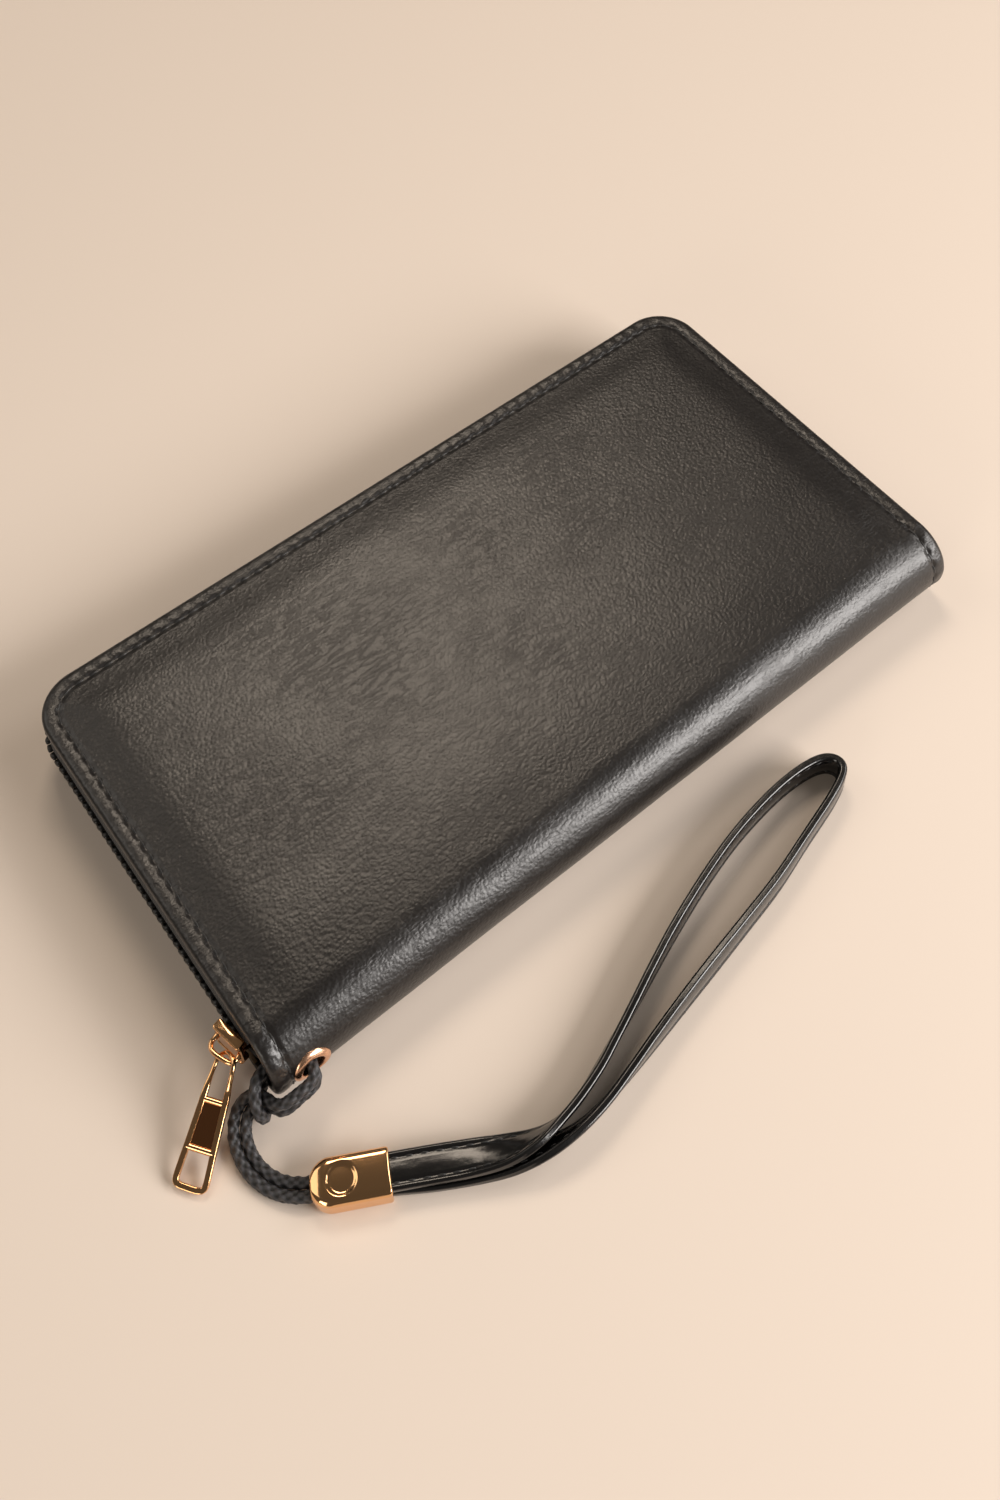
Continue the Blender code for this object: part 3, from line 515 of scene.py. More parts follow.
# The doubled cord, from the cap to the spine: x, y, z from the near left corner and its roll in degrees
CORD_PAIR = (
    (-1.1, -17.95, 3.0, 0), (-4.1, -16.3, 2.7, 0), (-7.7, -13.0, 1.45, 0), (-10.1, -8.4, 1.3, 0),
    (-10.6, -3.6, 1.3, 0), (-9.5, 0.8, 1.7, 0), (-7.2, 3.5, 2.9, 12), (-4.5, 4.1, 4.3, 45),
    (-2.4, 2.6, 5.2, 78), (-1.5, -0.3, 6.2, 88), (0.0, -2.5, 7.8, 90), (3.5, -2.8, 9.3, 90),
    (6.9, -3.0, 10.0, 90), (8.5, -0.4, 10.0, 90), (7.6, 3.6, 9.8, 90), (4.1, 5.5, 9.0, 90), (0.2, 5.7, 8.2, 90),
)
# The bight of the lark's head, which goes round the pair
CORD_BIGHT = (
    (-1.3, 5.1, 9.8), (-2.9, 3.8, 9.3), (-4.3, 1.7, 7.8), (-4.5, 0.3, 5.0),
    (-3.8, 0.2, 2.5), (-2.5, 2.1, 1.3), (-1.6, 5.2, 3.9),
)


def cord_route():
    """One strand out, round the bight and the other back: pair +/- 1.27 (side cos roll + up sin roll)."""
    pair = smooth_route(CORD_PAIR, 2)
    ahead = unit(np.gradient(pair[:, :3], axis=0))
    side = unit(np.cross(UP, ahead))
    roll = np.radians(pair[:, 3])[:, None]
    offset = (side * np.cos(roll) + np.cross(ahead, side) * np.sin(roll)) * STRAND_OFF
    upper, lower = pair[:, :3] + offset, pair[:, :3] - offset
    bight = smooth_route([upper[-2], *CORD_BIGHT, lower[-2]], 2)[1:-1]
    route = np.vstack([upper[:-1], bight, lower[:-1][::-1]])
    route[1:-1] = (route[:-2] + 2 * route[1:-1] + route[2:]) / 4
    return CORNER + route


def wrist_cord():
    """A braided tube: r = 1.15 + 0.14 cos(4a) cos(ks), with a the angle round it and s the distance along,
    the sum of two families of 4 helical strands, so their crowns stand proud in a diamond pattern."""
    route = cord_route()
    path = smooth_route(route, 8)
    run = run_of(path)
    sides = 32
    a = np.arange(sides) * 2 * PI / sides
    braid = np.cos(BRAID_STRANDS * a[None]) * np.cos(2 * PI / BRAID_PITCH * run[:, None])
    rings = wire_rings(path, CORD_R - 0.05 + 0.14 * braid, sides)
    around = np.linspace(0, 2 * PI * CORD_R, sides + 1) / 100
    cord = tube("braided_wrist_cord", rings, CORD, None, uv=(run / 100, around))
    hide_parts("wrist_cord")
    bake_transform(cord)


# ---------------------------------------------------------------- leather

def wrap(x, s, h):
    """A point of the leather sheet: x along the wallet, s round it from the middle of the spine, h above its
    face. Round the spine y = spine - (R + h) cos(s / R), z = middle + (R + h) sin(s / R); then flat covers."""
    x, s, h = np.broadcast_arrays(x, s, h)
    turn = np.clip(s, -QUARTER, QUARTER) / ROUND
    past = np.abs(s) - np.clip(np.abs(s), 0, QUARTER)
    return np.stack([x, SPINE_Y - (ROUND + h) * np.cos(turn) + past, MID + (ROUND + h) * np.sin(turn)], -1)


def sheet_normal(s):
    """Outward direction of the sheet at s."""
    turn = np.clip(s, -QUARTER, QUARTER) / ROUND
    return np.stack([np.zeros_like(turn), -np.cos(turn), np.sin(turn)], -1)


def sheet_edge(s_lines, x_lines, arc):
    """The sheet's outline, anticlockwise from the right side's foot, as centres and directions: the point at
    inset d is centre + (corner radius - d) * direction, so every inset keeps the same columns."""
    hx, hs = HALF - CORNER_R, SHEET_S - CORNER_R
    centres, angles = [], []
    for k, (cx, cs) in enumerate(((hx, hs), (-hx, hs), (-hx, -hs), (hx, -hs))):
        line = (s_lines, x_lines[::-1], s_lines[::-1], x_lines)[k][:-1]
        level = np.full(len(line), float((hx, hs, -hx, -hs)[k]))
        centres.append(np.stack([level, line] if k % 2 == 0 else [line, level], -1))
        angles.append(np.full(len(line), k * PI / 2))
        centres.append(np.tile((cx, cs), (arc, 1)))
        angles.append(np.arange(arc) / arc * PI / 2 + k * PI / 2)
    return np.concatenate(centres), np.concatenate(angles)


def soft_step(t):
    """3 t^2 - 2 t^3 between 0 and 1."""
    t = np.clip(t, 0.0, 1.0)
    return t * t * (3 - 2 * t)


def hide_lift(x, s):
    """How far the face stands off the flat sheet: the front's padding, soft from the stitch line to 0.85 mm over
    11 mm, and slow waves of a few hundredths left by pressing. The back lies flat on what it stands on."""
    inset = np.minimum(HALF - np.abs(x), SHEET_S - s) - 4.0
    rise = 0.85 * soft_step(inset / 11.0) * soft_step((s - 5.0) / 26.0)
    wave = np.sin(x / 9.3 + 0.5 * np.sin(s / 11.0)) * np.sin(s / 6.1 + 1.3 * np.sin(x / 21.0))
    slow = np.sin(x / 23.0 + 1.0) * np.sin(s / 14.0 + 0.4)
    quiet = soft_step(inset / 5.0) * soft_step((s + 14.0) / 8.0)
    return rise + quiet * (0.05 * wave + 0.09 * slow - 0.04)


def leather_shell():
    """One sheet of leather, from the back cover's zip edge round the spine to the front cover's: a fine band of
    rings along the edge with its turned rim, bead and stitch groove, and a coarser grid inside it."""
    hx, hs = HALF - CORNER_R, SHEET_S - CORNER_R
    x_lines = np.linspace(-hx, hx, 70)
    bend = 20.0
    half = np.concatenate([np.linspace(0, bend, 21)[:-1], np.linspace(bend, hs, 33)])
    s_lines = np.concatenate([-half[:0:-1], half])
    fine_x = np.interp(np.arange(69 * 4 + 1) / 4, np.arange(70), x_lines)
    fine_s = np.interp(np.arange((len(s_lines) - 1) * 4 + 1) / 4, np.arange(len(s_lines)), s_lines)
    centre, angle = sheet_edge(fine_s, fine_x, 28)
    along = np.stack([np.cos(angle), np.sin(angle)], -1)
    middle_line = centre + (CORNER_R - STITCH_IN) * along
    gone = np.linalg.norm(np.diff(np.vstack([middle_line, middle_line[:1]]), axis=0), axis=1)
    total = gone.sum()
    t = (np.cumsum(gone) - gone) / total * round(total / STITCH_PITCH)
    pinch = np.cos(2 * PI * t)

    # Inside of the turned rim, over its lower edge and up the outside, then the face inwards
    inner = np.array(((1.3, -1.05), (1.3, -2.0), (1.2, -2.2), (0.9, -2.3), (0.4, -2.27), (0.12, -2.12),
                      (0.0, -1.9), (0.0, -1.6), (0.0, -1.25)))
    d = np.concatenate([[0.03, 0.1, 0.22, 0.4, 0.62, 0.9, 1.2, 1.6, 2.0, 2.4], np.arange(2.7, 5.2, 0.2)])
    round_off = 1.0 * (1 - np.sqrt(np.clip(1 - (1 - np.minimum(d, 1.3) / 1.3) ** 2, 0, 1)))
    h = -0.27 * np.exp(-((d - STITCH_IN) / np.where(d < STITCH_IN, 0.55, 0.85)) ** 2) - round_off
    depth = np.concatenate([inner[:, 0], d])
    level = np.concatenate([inner[:, 1], h])
    hold = -0.13 * np.exp(-((depth - STITCH_IN) / 0.55) ** 2) + 0.07 * np.exp(-((depth - 2.0) / 1.0) ** 2)
    hold[:len(inner)] = 0.0
    flat = centre[None] + (CORNER_R - depth)[:, None, None] * along[None]
    height = level[:, None] + hold[:, None] * pinch[None]
    face = (np.arange(len(depth)) >= len(inner))[:, None]
    bead = 0.12 * np.exp(-((depth[:, None] - 2.0) / 1.1) ** 2) * (flat[..., 1] > -8)
    height = np.where(face, np.minimum(height + bead, 0.25) + hide_lift(flat[..., 0], flat[..., 1]), height)
    points = [wrap(flat[..., 0], flat[..., 1], height).reshape(-1, 3)]
    runs = [flat.reshape(-1, 2)]
    columns = len(centre)
    faces = list(quads(ring_index(len(depth), columns)))
    count = len(depth) * columns
    coarse_centre, coarse_along = centre[::4], along[::4]
    n = len(coarse_centre)
    grid_x, grid_s = np.meshgrid(x_lines, s_lines, indexing="ij")

    def side(first_ring, h_of, rows):
        """Coarse rings inwards from a fine ring, then the grid."""
        nonlocal count
        made = []
        for inset in rows:
            at = coarse_centre + (CORNER_R - inset) * coarse_along
            points.append(wrap(at[:, 0], at[:, 1], h_of(at[:, 0], at[:, 1])))
            runs.append(at)
            made.append(count + np.arange(n))
            count += n
        points.append(wrap(grid_x, grid_s, h_of(grid_x, grid_s)).reshape(-1, 3))
        runs.append(np.stack([grid_x, grid_s], -1).reshape(-1, 2))
        grid = count + np.arange(grid_x.size).reshape(grid_x.shape)
        count += grid_x.size
        f = [np.append(first_ring, first_ring[:1])[k:k + 4 * n:4] for k in range(5)]
        here, ahead = made[0], np.roll(made[0], -1)
        for three in ((f[0], f[1], here), (f[1], f[2], here), (f[2], ahead, here), (f[2], f[3], ahead),
                      (f[3], f[4], ahead)):
            faces.extend(np.stack(three, -1))
        for low, high in zip(made, made[1:]):
            faces.extend(quads(np.stack([np.append(low, low[:1]), np.append(high, high[:1])])))
        # The last ring meets the grid's border; the columns of a corner's arc all meet the grid's corner
        ns, nx = len(s_lines) - 1, len(x_lines) - 1
        border = np.concatenate([
            grid[-1, :-1], np.full(7, grid[-1, -1]), grid[::-1, -1][:-1], np.full(7, grid[0, -1]),
            grid[0, ::-1][:-1], np.full(7, grid[0, 0]), grid[:-1, 0], np.full(7, grid[-1, 0])])
        assert len(border) == n == 2 * (ns + nx) + 28
        low, high = np.append(made[-1], made[-1][:1]), np.append(border, border[:1])
        same = high[:-1] == high[1:]
        quad = np.stack([low[:-1], low[1:], high[1:], high[:-1]], -1)
        faces.extend(quad[~same])
        faces.extend(quad[same][:, :3])
        faces.extend(quads(grid))

    side(np.arange((len(depth) - 1) * columns, len(depth) * columns), hide_lift, (6.4, 7.8, 9.3))
    start = len(faces)
    side(np.arange(columns), lambda x, _: np.full(np.shape(x), inner[0, 1]), (3.2, 5.5, 8.5))
    # The inside's faces run the other way round
    faces[start:] = [f[::-1] for f in faces[start:]]
    shell = build("cowhide_cover", np.concatenate(points), faces, LEATHER, None, np.concatenate(runs) / 100)
    punch_eyelet_hole(shell)
    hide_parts("back_cover", "spine_cover", "front_cover")
    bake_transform(shell)
    edge_stitches(centre, along, t)


def punch_eyelet_hole(shell):
    """A round hole in the spine for the eyelet's barrel, 6.3 mm across, cut with a drum and applied."""
    a = np.arange(40) * 2 * PI / 40
    ring = EYELET + 3.15 * np.stack([np.cos(a), 0 * a, np.sin(a)], -1)
    drum = tube("eyelet_drum", np.stack([ring - (0, 4, 0), ring + (0, 4, 0)]), LEATHER, None)
    cutter = shell.modifiers.new("hole", "BOOLEAN")
    cutter.operation, cutter.solver, cutter.object = "DIFFERENCE", "EXACT", drum
    graph = bpy.context.evaluated_depsgraph_get()
    cut = bpy.data.meshes.new_from_object(shell.evaluated_get(graph), depsgraph=graph)
    shell.modifiers.clear()
    shell.data = cut
    bpy.data.objects.remove(drum)


def edge_stitches(centre, along, t):
    """Saddle stitches in the groove, each lying along the sheet's edge and dipping at its ends."""
    count = int(round(t[-1]))
    wanted = np.arange(count) + 0.5
    pick = np.searchsorted(t, wanted).clip(0, len(t) - 1)
    at = centre[pick] + (CORNER_R - STITCH_IN) * along[pick]
    ahead = np.stack([-along[pick][:, 1], along[pick][:, 0]], -1)
    level = -0.23 + hide_lift(at[:, 0], at[:, 1])
    here = wrap(at[:, 0], at[:, 1], level)
    there = wrap(at[:, 0] + 0.2 * ahead[:, 0], at[:, 1] + 0.2 * ahead[:, 1], level)
    points, faces = capsules(here, unit(there - here), sheet_normal(at[:, 1]), 2.9, THREAD_R, lift=0.06)
    thread = build("cover_stitching", points, faces, THREAD, None)
    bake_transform(thread)


# ---------------------------------------------------------------- zip

def zip_path(y_start, step=0.6):
    """The edge from the left side's foot round the two far corners to the right side's foot, with its inward
    direction: straights, and arcs centre - 11 mm (cos, sin)."""
    hx, y_far = HALF - CORNER_R, FAR - CORNER_R
    side = np.linspace(y_start, y_far, int((y_far - y_start) / step))
    far = np.linspace(-hx, hx, int(2 * hx / step))
    a = np.linspace(PI, PI / 2, 30)[1:-1]
    left = np.stack([np.full(len(side), -HALF), side], -1)
    arc = np.stack([-hx + CORNER_R * np.cos(a), y_far + CORNER_R * np.sin(a)], -1)
    top = np.stack([far, np.full(len(far), FAR)], -1)
    edge = np.vstack([left, arc, top, arc[::-1] * (-1, 1), left[::-1] * (-1, 1)])
    inward = np.vstack([np.tile((1.0, 0.0), (len(left), 1)), -np.stack([np.cos(a), np.sin(a)], -1),
                        np.tile((0.0, -1.0), (len(top), 1)),
                        np.stack([np.cos(a[::-1]), -np.sin(a[::-1])], -1),
                        np.tile((-1.0, 0.0), (len(left), 1))])
    return edge, inward


def along_zip(name, profile, y_start, mat, body):
    """A closed profile of (inset, z) carried along the zip's path: edge + inward * inset, at height z."""
    edge, inward = zip_path(y_start)
    profile = np.asarray(profile, float)
    flat = edge[:, None] + inward[:, None] * profile[None, :, :1]
    rings = np.concatenate([flat, np.broadcast_to(profile[None, :, 1:], (len(edge), len(profile), 1))], -1)
    return tube(name, rings, mat, body, uv=(run_of(edge) / 100, closed_run(profile) / 100))


# Sections of the front half's tape and of the thin strip under its leather's rim that carries a painted reflection of
# the floor: inset from the edge, and height
TAPE_SECTION = (
    (1.45, 18.3), (1.15, 17.0), (0.75, 15.0), (0.45, 13.0), (0.2, 11.5), (0.1, 11.15),
    (0.35, 10.95), (0.7, 11.3), (0.95, 13.0), (1.25, 15.0), (1.65, 17.0), (1.95, 18.3),
)
REFLECTION_BAND_SECTION = ((0.10, 17.78), (0.06, 17.6), (0.14, 17.42), (0.5, 17.36), (0.9, 17.42), (1.0, 17.7))


def mirrored(profile, front):
    """A profile as it is on the front half, or turned over for the back half: z becomes 2 middle - z."""
    p = np.asarray(profile, float)
    return p if front else np.stack([p[:, 0], 2 * MID - p[:, 1]], -1)


def zip_rows():
    """Both halves of the coil zip: tape, a strip under the leather's rim with a painted reflection of the floor, coil
    heads and stops.
    """
    for front in (False, True):
        half = "front" if front else "back"
        body = half + "_half"
        tape = along_zip(half + "_woven_tape", mirrored(TAPE_SECTION, front), SPINE_Y + 1.0, TAPE, body)
        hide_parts(half + "_zip_tape")
        # A thin strip under the leather's rim, coloured as a painted reflection of the pale floor
        painted_band = along_zip(half + "_cut_edge", mirrored(REFLECTION_BAND_SECTION, front), SPINE_Y + 0.4, FLOOR_REFLECTION_MAT, body)
        edge, inward = zip_path(SPINE_Y + 3.4, 0.2)
        run = run_of(edge)
        at = np.arange(0.0 if front else 1.1, run[-1], 2.2)
        out = -unit(np.column_stack([at_run(at, run, inward), np.zeros(len(at))]))
        z = np.full(len(at), MID + (0.62 if front else -0.62))
        row, faces = coil_heads(np.column_stack([at_run(at, run, edge), z]), np.cross(UP, out), out)
        teeth = build(half + "_coil_heads", row, faces, COIL, body)
        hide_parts(half + "_teeth")
        for side in ("left", "right"):
            paint_node(f"{half}_{side}_stop", INLAY)


def coil_heads(centres, ahead, out):
    """Rounded blocks: a superellipse 1.5 by 1.1 mm square to the tape, swollen at its head and narrowed
    towards the tape, reaching 0.95 mm out of the edge and 1.9 mm in."""
    reach = np.array((-1.9, -1.2, 0.1, 0.6, 0.86, 0.95))
    swell = np.array((0.55, 0.72, 1.0, 1.08, 0.8, 0.35))
    a = np.arange(8) * PI / 4 + PI / 8
    wide = np.sign(np.cos(a)) * np.abs(np.cos(a)) ** 0.7 * 0.74
    tall = np.sign(np.sin(a)) * np.abs(np.sin(a)) ** 0.7 * 0.56
    return many_grids(centres[:, None, None] + out[:, None, None] * reach[None, :, None, None]
                      + ahead[:, None, None] * (swell[:, None] * wide)[None, ..., None]
                      + UP * (swell[:, None] * tall)[None, ..., None])


def zip_end_tab():
    """A leather tab folded over the zip's end at the right side, with a row of stitches across each end."""
    low, high = (np.array(c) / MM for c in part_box("zip_end_tab"))
    middle, size = (low + high) / 2, (high - low) / 2
    outline = rounded_rect(size[1], size[2] + 0.2, 1.0)[0]
    tab = slab("zip_end_leather_tab", outline, -size[0], size[0], 0.38, LEATHER, "back_half",
               (middle, AXIS_Y, UP, AXIS_X), crown=0.12)
    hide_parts("zip_end_tab")
    z = np.linspace(-size[2] + 1.2, size[2] - 1.2, 4)
    across = np.repeat((-1, 1), 4) * (size[1] - 0.9)
    at = middle + np.stack([np.full(8, size[0] + 0.05), across, np.tile(z, 2)], -1)
    points, faces = capsules(at, np.tile(UP, (8, 1)), np.tile(AXIS_X, (8, 1)), 1.4, 0.2)
    build("zip_end_stitches", points, faces, THREAD, "back_half")


# ---------------------------------------------------------------- slider and pull

# Middle of the slider's outer plate, with its directions along and outwards
SLIDE_AT = np.array((-99.927, -37.925, MID))
SLIDE_ALONG = np.array((-0.20791, 0.97815, 0.0))
SLIDE_OUT = np.array((-0.97815, -0.20791, 0.0))


def slider():
    """Cast slider: outer plate with two sides folded towards the coil, inner plate and web between."""
    plate = slab("slider_outer_plate", rounded_rect(3.9, 4.0, 1.5)[0], -0.6, 0.48, 0.45, GOLD, "zip_slider",
                 (SLIDE_AT, SLIDE_ALONG, UP, SLIDE_OUT), crown=0.12)
    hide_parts("slider_body")
    for name, lift in (("upper", 3.5), ("lower", -3.5)):
        at = SLIDE_AT + UP * lift - SLIDE_OUT * 0.5
        fold = slab(f"slider_{name}_fold", rounded_rect(3.75, 1.2, 0.6)[0], -0.55, 0.5, 0.3, GOLD, "zip_slider",
                    (at, SLIDE_ALONG, SLIDE_OUT, UP * np.sign(lift)), crown=0.1)
    inner = slab("slider_inner_plate", rounded_rect(3.3, 3.5, 1.2)[0], -0.6, 0.6, 0.35, GOLD, "zip_slider",
                 (np.array((-94.55, *SLIDE_AT[1:])), AXIS_Y, UP, AXIS_X), crown=0.1)
    web = slab("slider_web", rounded_rect(2.7, 2.3, 0.5)[0], -0.2, 0.2, 0.08, GOLD, "zip_slider",
               (np.array((-97.2, *SLIDE_AT[1:])), AXIS_X, AXIS_Y, UP))


def slider_ring():
    """The bridge: a round wire 1.04 mm thick that rises from the plate's ends, thicker at its feet."""
    face = 0.6
    route = np.array(((3.0, -0.1), (3.0, 0.75), (2.95, 1.45), (2.3, 2.3), (1.0, 2.65), (-1.4, 2.35),
                      (-3.0, 1.9), (-3.4, 1.2), (-3.42, 0.6), (-3.4, -0.1)))
    path = SLIDE_AT + route[:, :1] * SLIDE_ALONG + (route[:, 1:] + face) * SLIDE_OUT
    path = smooth_route(path, 8)
    share = np.linspace(0, 1, len(path))
    ring = tube("slider_ring", wire_rings(path, 0.52 + 0.2 * (2 * share - 1) ** 8, 20), GOLD, "zip_slider")
    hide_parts("slider_bridge")


# The pull's hinge, with its directions down its length, across it and out of its face
PULL_AT = np.array((-102.222, -40.355, 10.0))
PULL_DOWN = np.array((-0.74978, -0.53877, -0.38413))
PULL_ACROSS = np.array((0.58354, -0.81208, 0.0))
PULL_FACE = np.array((-0.31195, -0.22416, 0.92328))


def pull_place(route):
    """Points of (down, across, face) in the pull's own frame, put into the model's."""
    route = np.asarray(route, float)
    return PULL_AT + route[:, :1] * PULL_DOWN + route[:, 1:2] * PULL_ACROSS + route[:, 2:] * PULL_FACE


def pull_tab():
    """The pull: one closed frame of round-edged bar that links the ring at its top, a bar across it, a sunk
    plate below that, and an open window in its wider foot."""
    half = np.array(((23.35, 0.0, 0), (23.3, 1.8, 0), (22.9, 2.85, 0), (21.6, 3.15, 0), (17.0, 2.88, 0),
                     (12.0, 2.6, 0), (8.5, 2.42, 0), (5.6, 2.35, 0.22), (3.4, 2.34, 0.9), (1.4, 2.3, 1.45),
                     (-0.2, 2.0, 1.42), (-1.1, 1.05, 0.85)))
    loop = np.vstack([half, (-1.45, 0, 0), half[:0:-1] * (1, -1, -1)])
    around = smooth_route(np.vstack([loop[-3:], loop, loop[:4]]), 8)[24:-24]
    path = pull_place(around)[:-8]
    widen = soft_step((around[:-8, 0] - 2.0) / 5.0)[:, None, None]
    tangent = unit(np.roll(path, -1, 0) - np.roll(path, 1, 0))
    level = unit(PULL_FACE - tangent * (tangent @ PULL_FACE)[:, None])
    aside = np.cross(tangent, level)
    section = rounded_rect(0.62, 0.62, 0.26, per=6, straight=3)[0]
    wire = unit(section) * 0.46
    shape = wire[None] + (section - wire)[None] * widen
    ring = path[:, None] + shape[..., :1] * aside[:, None] + shape[..., 1:] * level[:, None]
    rim = tube("pull_frame", ring, GOLD, "zip_pull", loop=True)
    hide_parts("pull_tab")
    for name, d, w, r in (("upper", 7.6, 2.3, 0.62), ("lower", 16.4, 2.8, 0.68)):
        line = pull_place(np.stack([np.full(9, d), np.linspace(-w, w, 9), np.zeros(9)], -1))
        bar = tube(f"pull_{name}_bar", wire_rings(line, r, 16), GOLD, "zip_pull")
    outline = np.array(((7.6, -2.35), (16.4, -2.8), (16.4, 2.8), (7.6, 2.35)))
    plate = slab("pull_sunk_plate", smooth_edge(outline), -0.32, 0.32, 0.12, INLAY, "zip_pull",
                 (PULL_AT, PULL_DOWN, PULL_ACROSS, PULL_FACE))


def smooth_edge(corners, per=10):
    """A polygon's outline with each side cut into per pieces."""
    t = np.arange(per)[:, None] / per
    return np.concatenate([a + (b - a) * t for a, b in zip(corners, np.roll(corners, -1, 0))])


# ---------------------------------------------------------------- eyelet, cap and strap

EYELET = np.array((-HALF + 8.5, -FAR, MID))


def eyelet():
    """Rolled flange and barrel, turned about Y and laid on the spine: y = -sqrt(R^2 - (r sin a)^2) + lift."""
    profile = smooth_route(((2.6, 2.6), (2.6, 0.3), (2.62, -0.2), (2.75, -0.48), (3.0, -0.66), (3.35, -0.7),
                            (3.75, -0.6), (4.1, -0.38), (4.3, -0.1), (4.32, 0.06), (4.1, 0.14), (3.1, 0.3),
                            (3.0, 2.6)), 3)
    a = np.arange(64) * 2 * PI / 64
    r, lift = profile[None, :, 0], profile[None, :, 1]
    drop = ROUND - np.sqrt(ROUND ** 2 - (r * np.sin(a)[:, None]) ** 2)
    y = -FAR + lift + drop * soft_step((1.4 - lift) / 1.2)
    points = np.stack([EYELET[0] + r * np.cos(a)[:, None], y, MID + r * np.sin(a)[:, None]], -1)
    ring = tube("rolled_eyelet", points, EYELET_METAL, "back_half", loop=True)
    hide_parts("eyelet")


CAP_MOUTH = CORNER + (10.0, -24.0, 0.0)
CAP_WAY = unit(np.array((-0.879, 0.477, 0.0)))
CAP_SIDE = np.cross(UP, CAP_WAY)


def end_cap():
    """Cast cap: rounded rectangles along its axis, hollow at the strap's end, drawn in at the cord's end by a
    circular arc in plan, with a round dimple 0.35 mm deep in its top."""
    inside = [(7.2, 3.7, 2.1, 0.5), (3.0, 3.75, 2.15, 0.5), (0.35, 3.8, 2.2, 0.6), (0.08, 3.9, 2.3, 0.7),
              (0.0, 4.1, 2.5, 0.9), (0.06, 4.35, 2.75, 1.1), (0.25, 4.5, 2.9, 1.25), (0.6, 4.6, 3.0, 1.35)]
    along = np.arange(0.9, 11.6, 0.3)
    outer = np.column_stack([along, np.tile((4.6, 3.0, 1.4), (len(along), 1))])
    end = np.radians(np.linspace(0, 62, 16))
    nose = np.stack([11.6 + 4.6 * np.sin(end), 0.1 + 4.5 * np.cos(end), 1.0 + 2.0 * np.cos(end * 0.9) ** 0.8,
                     1.4 + 0.2 * np.sin(end)], -1)
    lip = [(15.8, 2.05, 1.9, 1.4), (15.9, 1.8, 1.6, 1.4)]
    rows = np.vstack([inside, outer, nose, lip])
    flat = rounded_rect(rows[:, 1], rows[:, 2], rows[:, 3], per=8, straight=22)
    aside, up = flat[..., 0], flat[..., 1]
    reach = np.hypot(rows[:, :1] - 9.6, aside)
    crown = 0.15 * np.cos(np.clip(aside / 4.6, -1, 1) * PI / 2)
    top = (up > 2.2) & (rows[:, :1] > 0.5)
    dip = 0.38 * soft_step((3.2 - reach) / 0.7)
    up = np.where(top, up - dip - 0.15 + crown, up)
    points = CAP_MOUTH + rows[:, :1, None] * CAP_WAY + aside[..., None] * CAP_SIDE
    points = points + (up[..., None] + 3.0) * UP
    cap = tube("cast_end_cap", points, GOLD, "wrist_strap")
    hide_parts("end_cap")


# The strap's middle line: x, y, z from the near left corner and its turn from flat (0) to on edge (90)
STRAP_TOP = (
    (5.5, -21.55, 4.05, 0), (10.0, -24.0, 4.05, 0), (17.0, -27.9, 4.05, 0), (23.5, -31.6, 4.15, 6),
    (29.7, -34.9, 4.5, 24), (35.7, -36.9, 4.7, 52), (41.5, -37.3, 4.3, 74), (47.5, -36.5, 4.1, 80),
    (54.0, -34.6, 4.0, 78), (60.5, -32.2, 3.95, 80), (67.5, -29.6, 3.95, 84), (75.5, -26.5, 3.95, 88),
    (85.5, -22.8, 3.95, 90), (97.5, -19.0, 3.95, 90), (109.5, -16.0, 3.95, 90), (121.5, -14.3, 3.95, 90),
    (130.5, -14.1, 3.95, 90), (136.8, -15.2, 3.95, 90),
)
STRAP_TIP = ((139.5, -17.6, 3.95, 90), (138.7, -20.4, 3.95, 90))
STRAP_BACK = (
    (133.0, -22.9, 3.95, 90), (121.5, -26.0, 3.95, 90), (109.5, -29.2, 3.95, 92), (97.5, -31.5, 3.95, 93),
    (85.5, -33.7, 3.95, 94), (75.5, -35.6, 3.95, 92), (66.5, -37.4, 3.95, 88), (58.5, -39.0, 3.95, 82),
    (51.0, -40.3, 3.95, 76), (44.0, -40.6, 3.85, 68), (37.2, -39.4, 3.45, 50), (30.5, -36.6, 2.85, 24),
    (23.9, -32.7, 2.05, 6), (17.0, -28.6, 1.95, 0), (10.0, -24.0, 1.95, 0), (5.5, -21.55, 1.95, 0),
)


def strap_frames(per):
    """The strap's middle line, its across and outward directions; past the tip it lies the other way up."""
    route = smooth_route(STRAP_TOP + STRAP_TIP + STRAP_BACK, per)
    ahead = np.gradient(route[:, :3], axis=0) * (1, 1, 0)
    side = np.cross(UP, unit(ahead))
    turn = np.radians(route[:, 3])[:, None]
    back = (np.arange(len(route)) > (len(STRAP_TOP) + len(STRAP_TIP) / 2) * per)[:, None]
    flip = np.where(back, -1.0, 1.0)
    outward = flip * UP * np.cos(turn) + side * np.sin(turn)
    across = flip * side * np.cos(turn) - UP * np.sin(turn)
    return CORNER + route[:, :3], across, outward


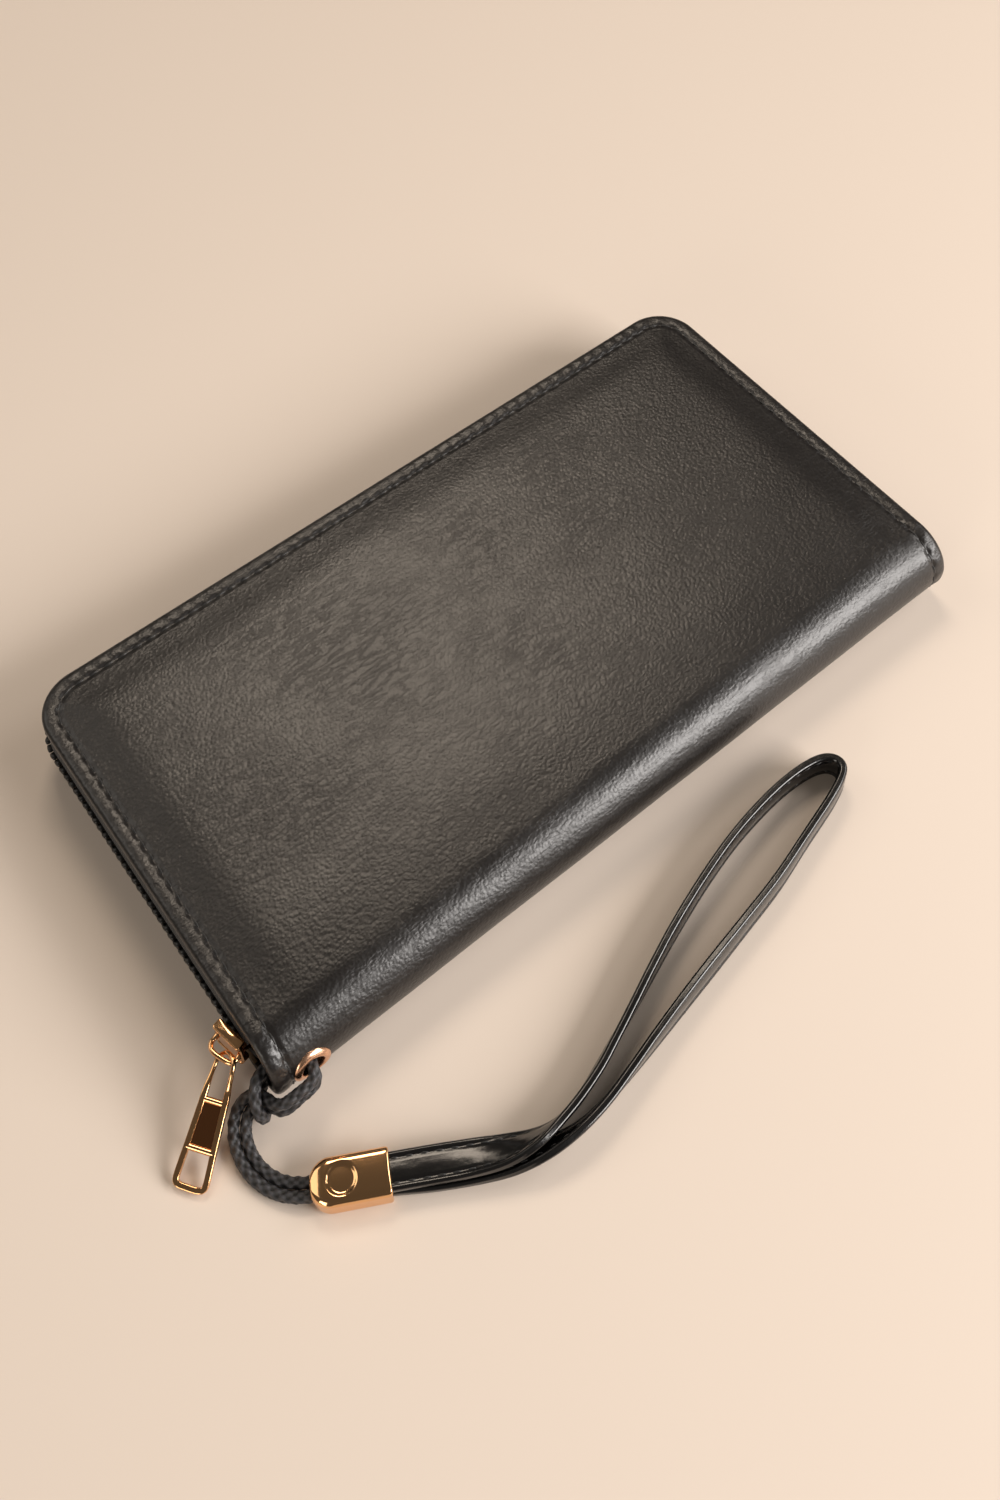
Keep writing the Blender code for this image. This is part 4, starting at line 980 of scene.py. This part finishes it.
def wrist_strap():
    """A turned-edge strap: a rounded rectangle 7.2 by 1.8 mm with full edges, v += 0.12 e^-((|u| - 3.05)/0.4)^2,
    and a sunk stitch line, v -= 0.2 e^-((|u| - 2.25)/0.3)^2, along the middle line; then its stitches."""
    path, across, outward = strap_frames(12)
    section = rounded_rect(3.6, 0.9, 0.55, per=5, straight=18)[0]
    u, v = section[:, 0], section[:, 1]
    shape = 0.12 * np.exp(-((np.abs(u) - 3.05) / 0.4) ** 2) - 0.2 * np.exp(-((np.abs(u) - 2.25) / 0.3) ** 2) \
        + 0.10 * np.exp(-(u / 1.3) ** 2)
    v = v + np.where(np.abs(v) > 0.6, np.sign(v) * (shape - 0.10), 0.0)
    run = run_of(path)
    ripple = 0.05 * np.sin(run / 5.3 + np.sin(run / 13.0) * 2)[:, None] * np.cos(u / 2.0)[None]
    points = path[:, None] + across[:, None] * u[None, :, None]
    points = points + outward[:, None] * (v[None] + ripple)[..., None]
    strap = tube("turned_edge_strap", points, STRAP, "wrist_strap", uv=(run / 100, closed_run(section) / 100))
    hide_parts("strap")
    at = np.arange(6.0, run[-1] - 6.0, 3.0)
    middle, wide, face = at_run(at, run, path), unit(at_run(at, run, across)), unit(at_run(at, run, outward))
    ahead = unit(np.cross(face, wide))
    spots = [(middle + wide * u0 + face * f * 0.68, face * f) for u0 in (-2.25, 2.25) for f in (1, -1)]
    points, faces = capsules(np.concatenate([s[0] for s in spots]), np.tile(ahead, (4, 1)),
                             np.concatenate([s[1] for s in spots]), 2.0, 0.19, lift=0.04)
    build("strap_stitching", points, faces, THREAD, "wrist_strap")


# ---------------------------------------------------------------- inside of the wallet

def inside():
    """Linings, card leaves and divider leaves as thin cloth-covered plates, rolled edges; the gussets."""
    for body, names in (("back_half", ("back_lining", "back_card_leaf_1", "back_card_leaf_2")),
                        ("front_half", ("front_lining", "front_card_leaf_1", "front_card_leaf_2")),
                        ("divider", ("divider_back_leaf", "divider_front_leaf"))):
        for name in names:
            low, high = (np.array(c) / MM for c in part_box(name))
            middle, size = (low + high) / 2, (high - low) / 2
            corner = 7.5 if "lining" in name else 3.0
            outline = rounded_rect(size[0], size[1], corner, straight=40)[0] + middle[:2]
            leaf = slab(name + "_cloth", outline, low[2], high[2], 0.22, LINING, body)
            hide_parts(name)
            if "lining" in name:
                continue
            line = rounded_rect(size[0] - 1.6, size[1] - 1.6, 2.0, straight=60)[0] + middle[:2]
            loop = np.vstack([line, line[:1]])
            gone = run_of(loop)
            at = np.arange(0, gone[-1] - 1.5, 3.2)
            xy = at_run(at, gone, loop)
            ahead = unit(np.column_stack([at_run(at + 0.4, gone, loop) - xy, np.zeros(len(at))]))
            top = np.column_stack([xy, np.full(len(at), high[2])])
            points, faces = capsules(top, ahead, np.tile(UP, (len(at), 1)), 2.2, 0.13, lift=-0.02)
            build(name + "_stitches", points, faces, THREAD, body)
    for side, sign in (("left", -1), ("right", 1)):
        low, high = (np.array(c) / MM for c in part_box(side + "_gusset"))
        edge_x, fold_x = HALF - 4.2, HALF - 9.6
        t = np.linspace(0, 1, 13)
        z = low[2] + (high[2] - low[2]) * t
        x = edge_x + (fold_x - edge_x) * (1 - np.abs(2 * t - 1) ** 1.25)
        section = np.vstack([np.stack([x, z], -1), np.stack([x - 0.5, z], -1)[::-1]])
        y = np.linspace(low[1], high[1], 40)[:, None]
        points = np.stack(np.broadcast_arrays(sign * section[None, :, 0], y, section[None, :, 1]), -1)
        gusset = tube(side + "_folded_gusset", points, LINING, None)
        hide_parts(side + "_gusset")
        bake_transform(gusset)
    for name, mat in (("back_board", BOARD), ("front_board", BOARD), ("eyelet_washer", EYELET_METAL)):
        paint_node(name, mat)


# ---------------------------------------------------------------- studio

def studio():
    """A plain pale floor, five soft boxes and a dim warm room."""
    mesh = bpy.data.meshes.new("floor")
    mesh.from_pydata([(-3, -3, 0), (3, -3, 0), (3, 3, 0), (-3, 3, 0)], [], [(0, 1, 2, 3)])
    mesh.materials.append(pale_floor())
    floor = bpy.data.objects.new("floor", mesh)
    bpy.context.scene.collection.objects.link(floor)
    world = bpy.data.worlds.new("room")
    bpy.context.scene.world = world
    world.use_nodes = True
    world.node_tree.nodes["Background"].inputs["Color"].default_value = tint("#cfc6bb")
    world.node_tree.nodes["Background"].inputs["Strength"].default_value = 0.16
    bpy.context.scene.view_settings.view_transform = "Standard"
    for name, place, aim, size, power, code in (
            ("key", (0.60, -1.00, 0.60), (0.04, -0.04, 0.0), (0.85, 0.62), 25.0, "#fffaf6"),
            ("overhead", (0.34, 0.64, 1.20), (0.0, 0.0, 0.0), (0.46, 0.42), 5.2, "#ffeeda"),
            ("back", (-0.75, 0.95, 1.15), (0.0, 0.0, 0.0), (1.0, 1.0), 4.8, "#fff6ea"),
            ("side", (1.0, -0.30, 0.85), (0.0, 0.0, 0.0), (0.5, 0.5), 4.0, "#fffaf4"),
            ("left", (-0.9, -0.35, 0.30), (-0.05, -0.05, 0.0), (0.35, 0.4), 2.0, "#fff6ea")):
        light = bpy.data.lights.new(name, "AREA")
        light.shape, light.size, light.size_y = "RECTANGLE", *size
        light.energy = power
        light.color = tint(code)[:3]
        back = unit(np.array(place) - np.array(aim))
        right = unit(np.cross(UP, back))
        stand(bpy.data.objects.new(name, light), right, np.cross(back, right), back, place)


wrist_cord()
leather_shell()
zip_rows()
zip_end_tab()
slider()
slider_ring()
pull_tab()
eyelet()
end_cap()
wrist_strap()
inside()
studio()
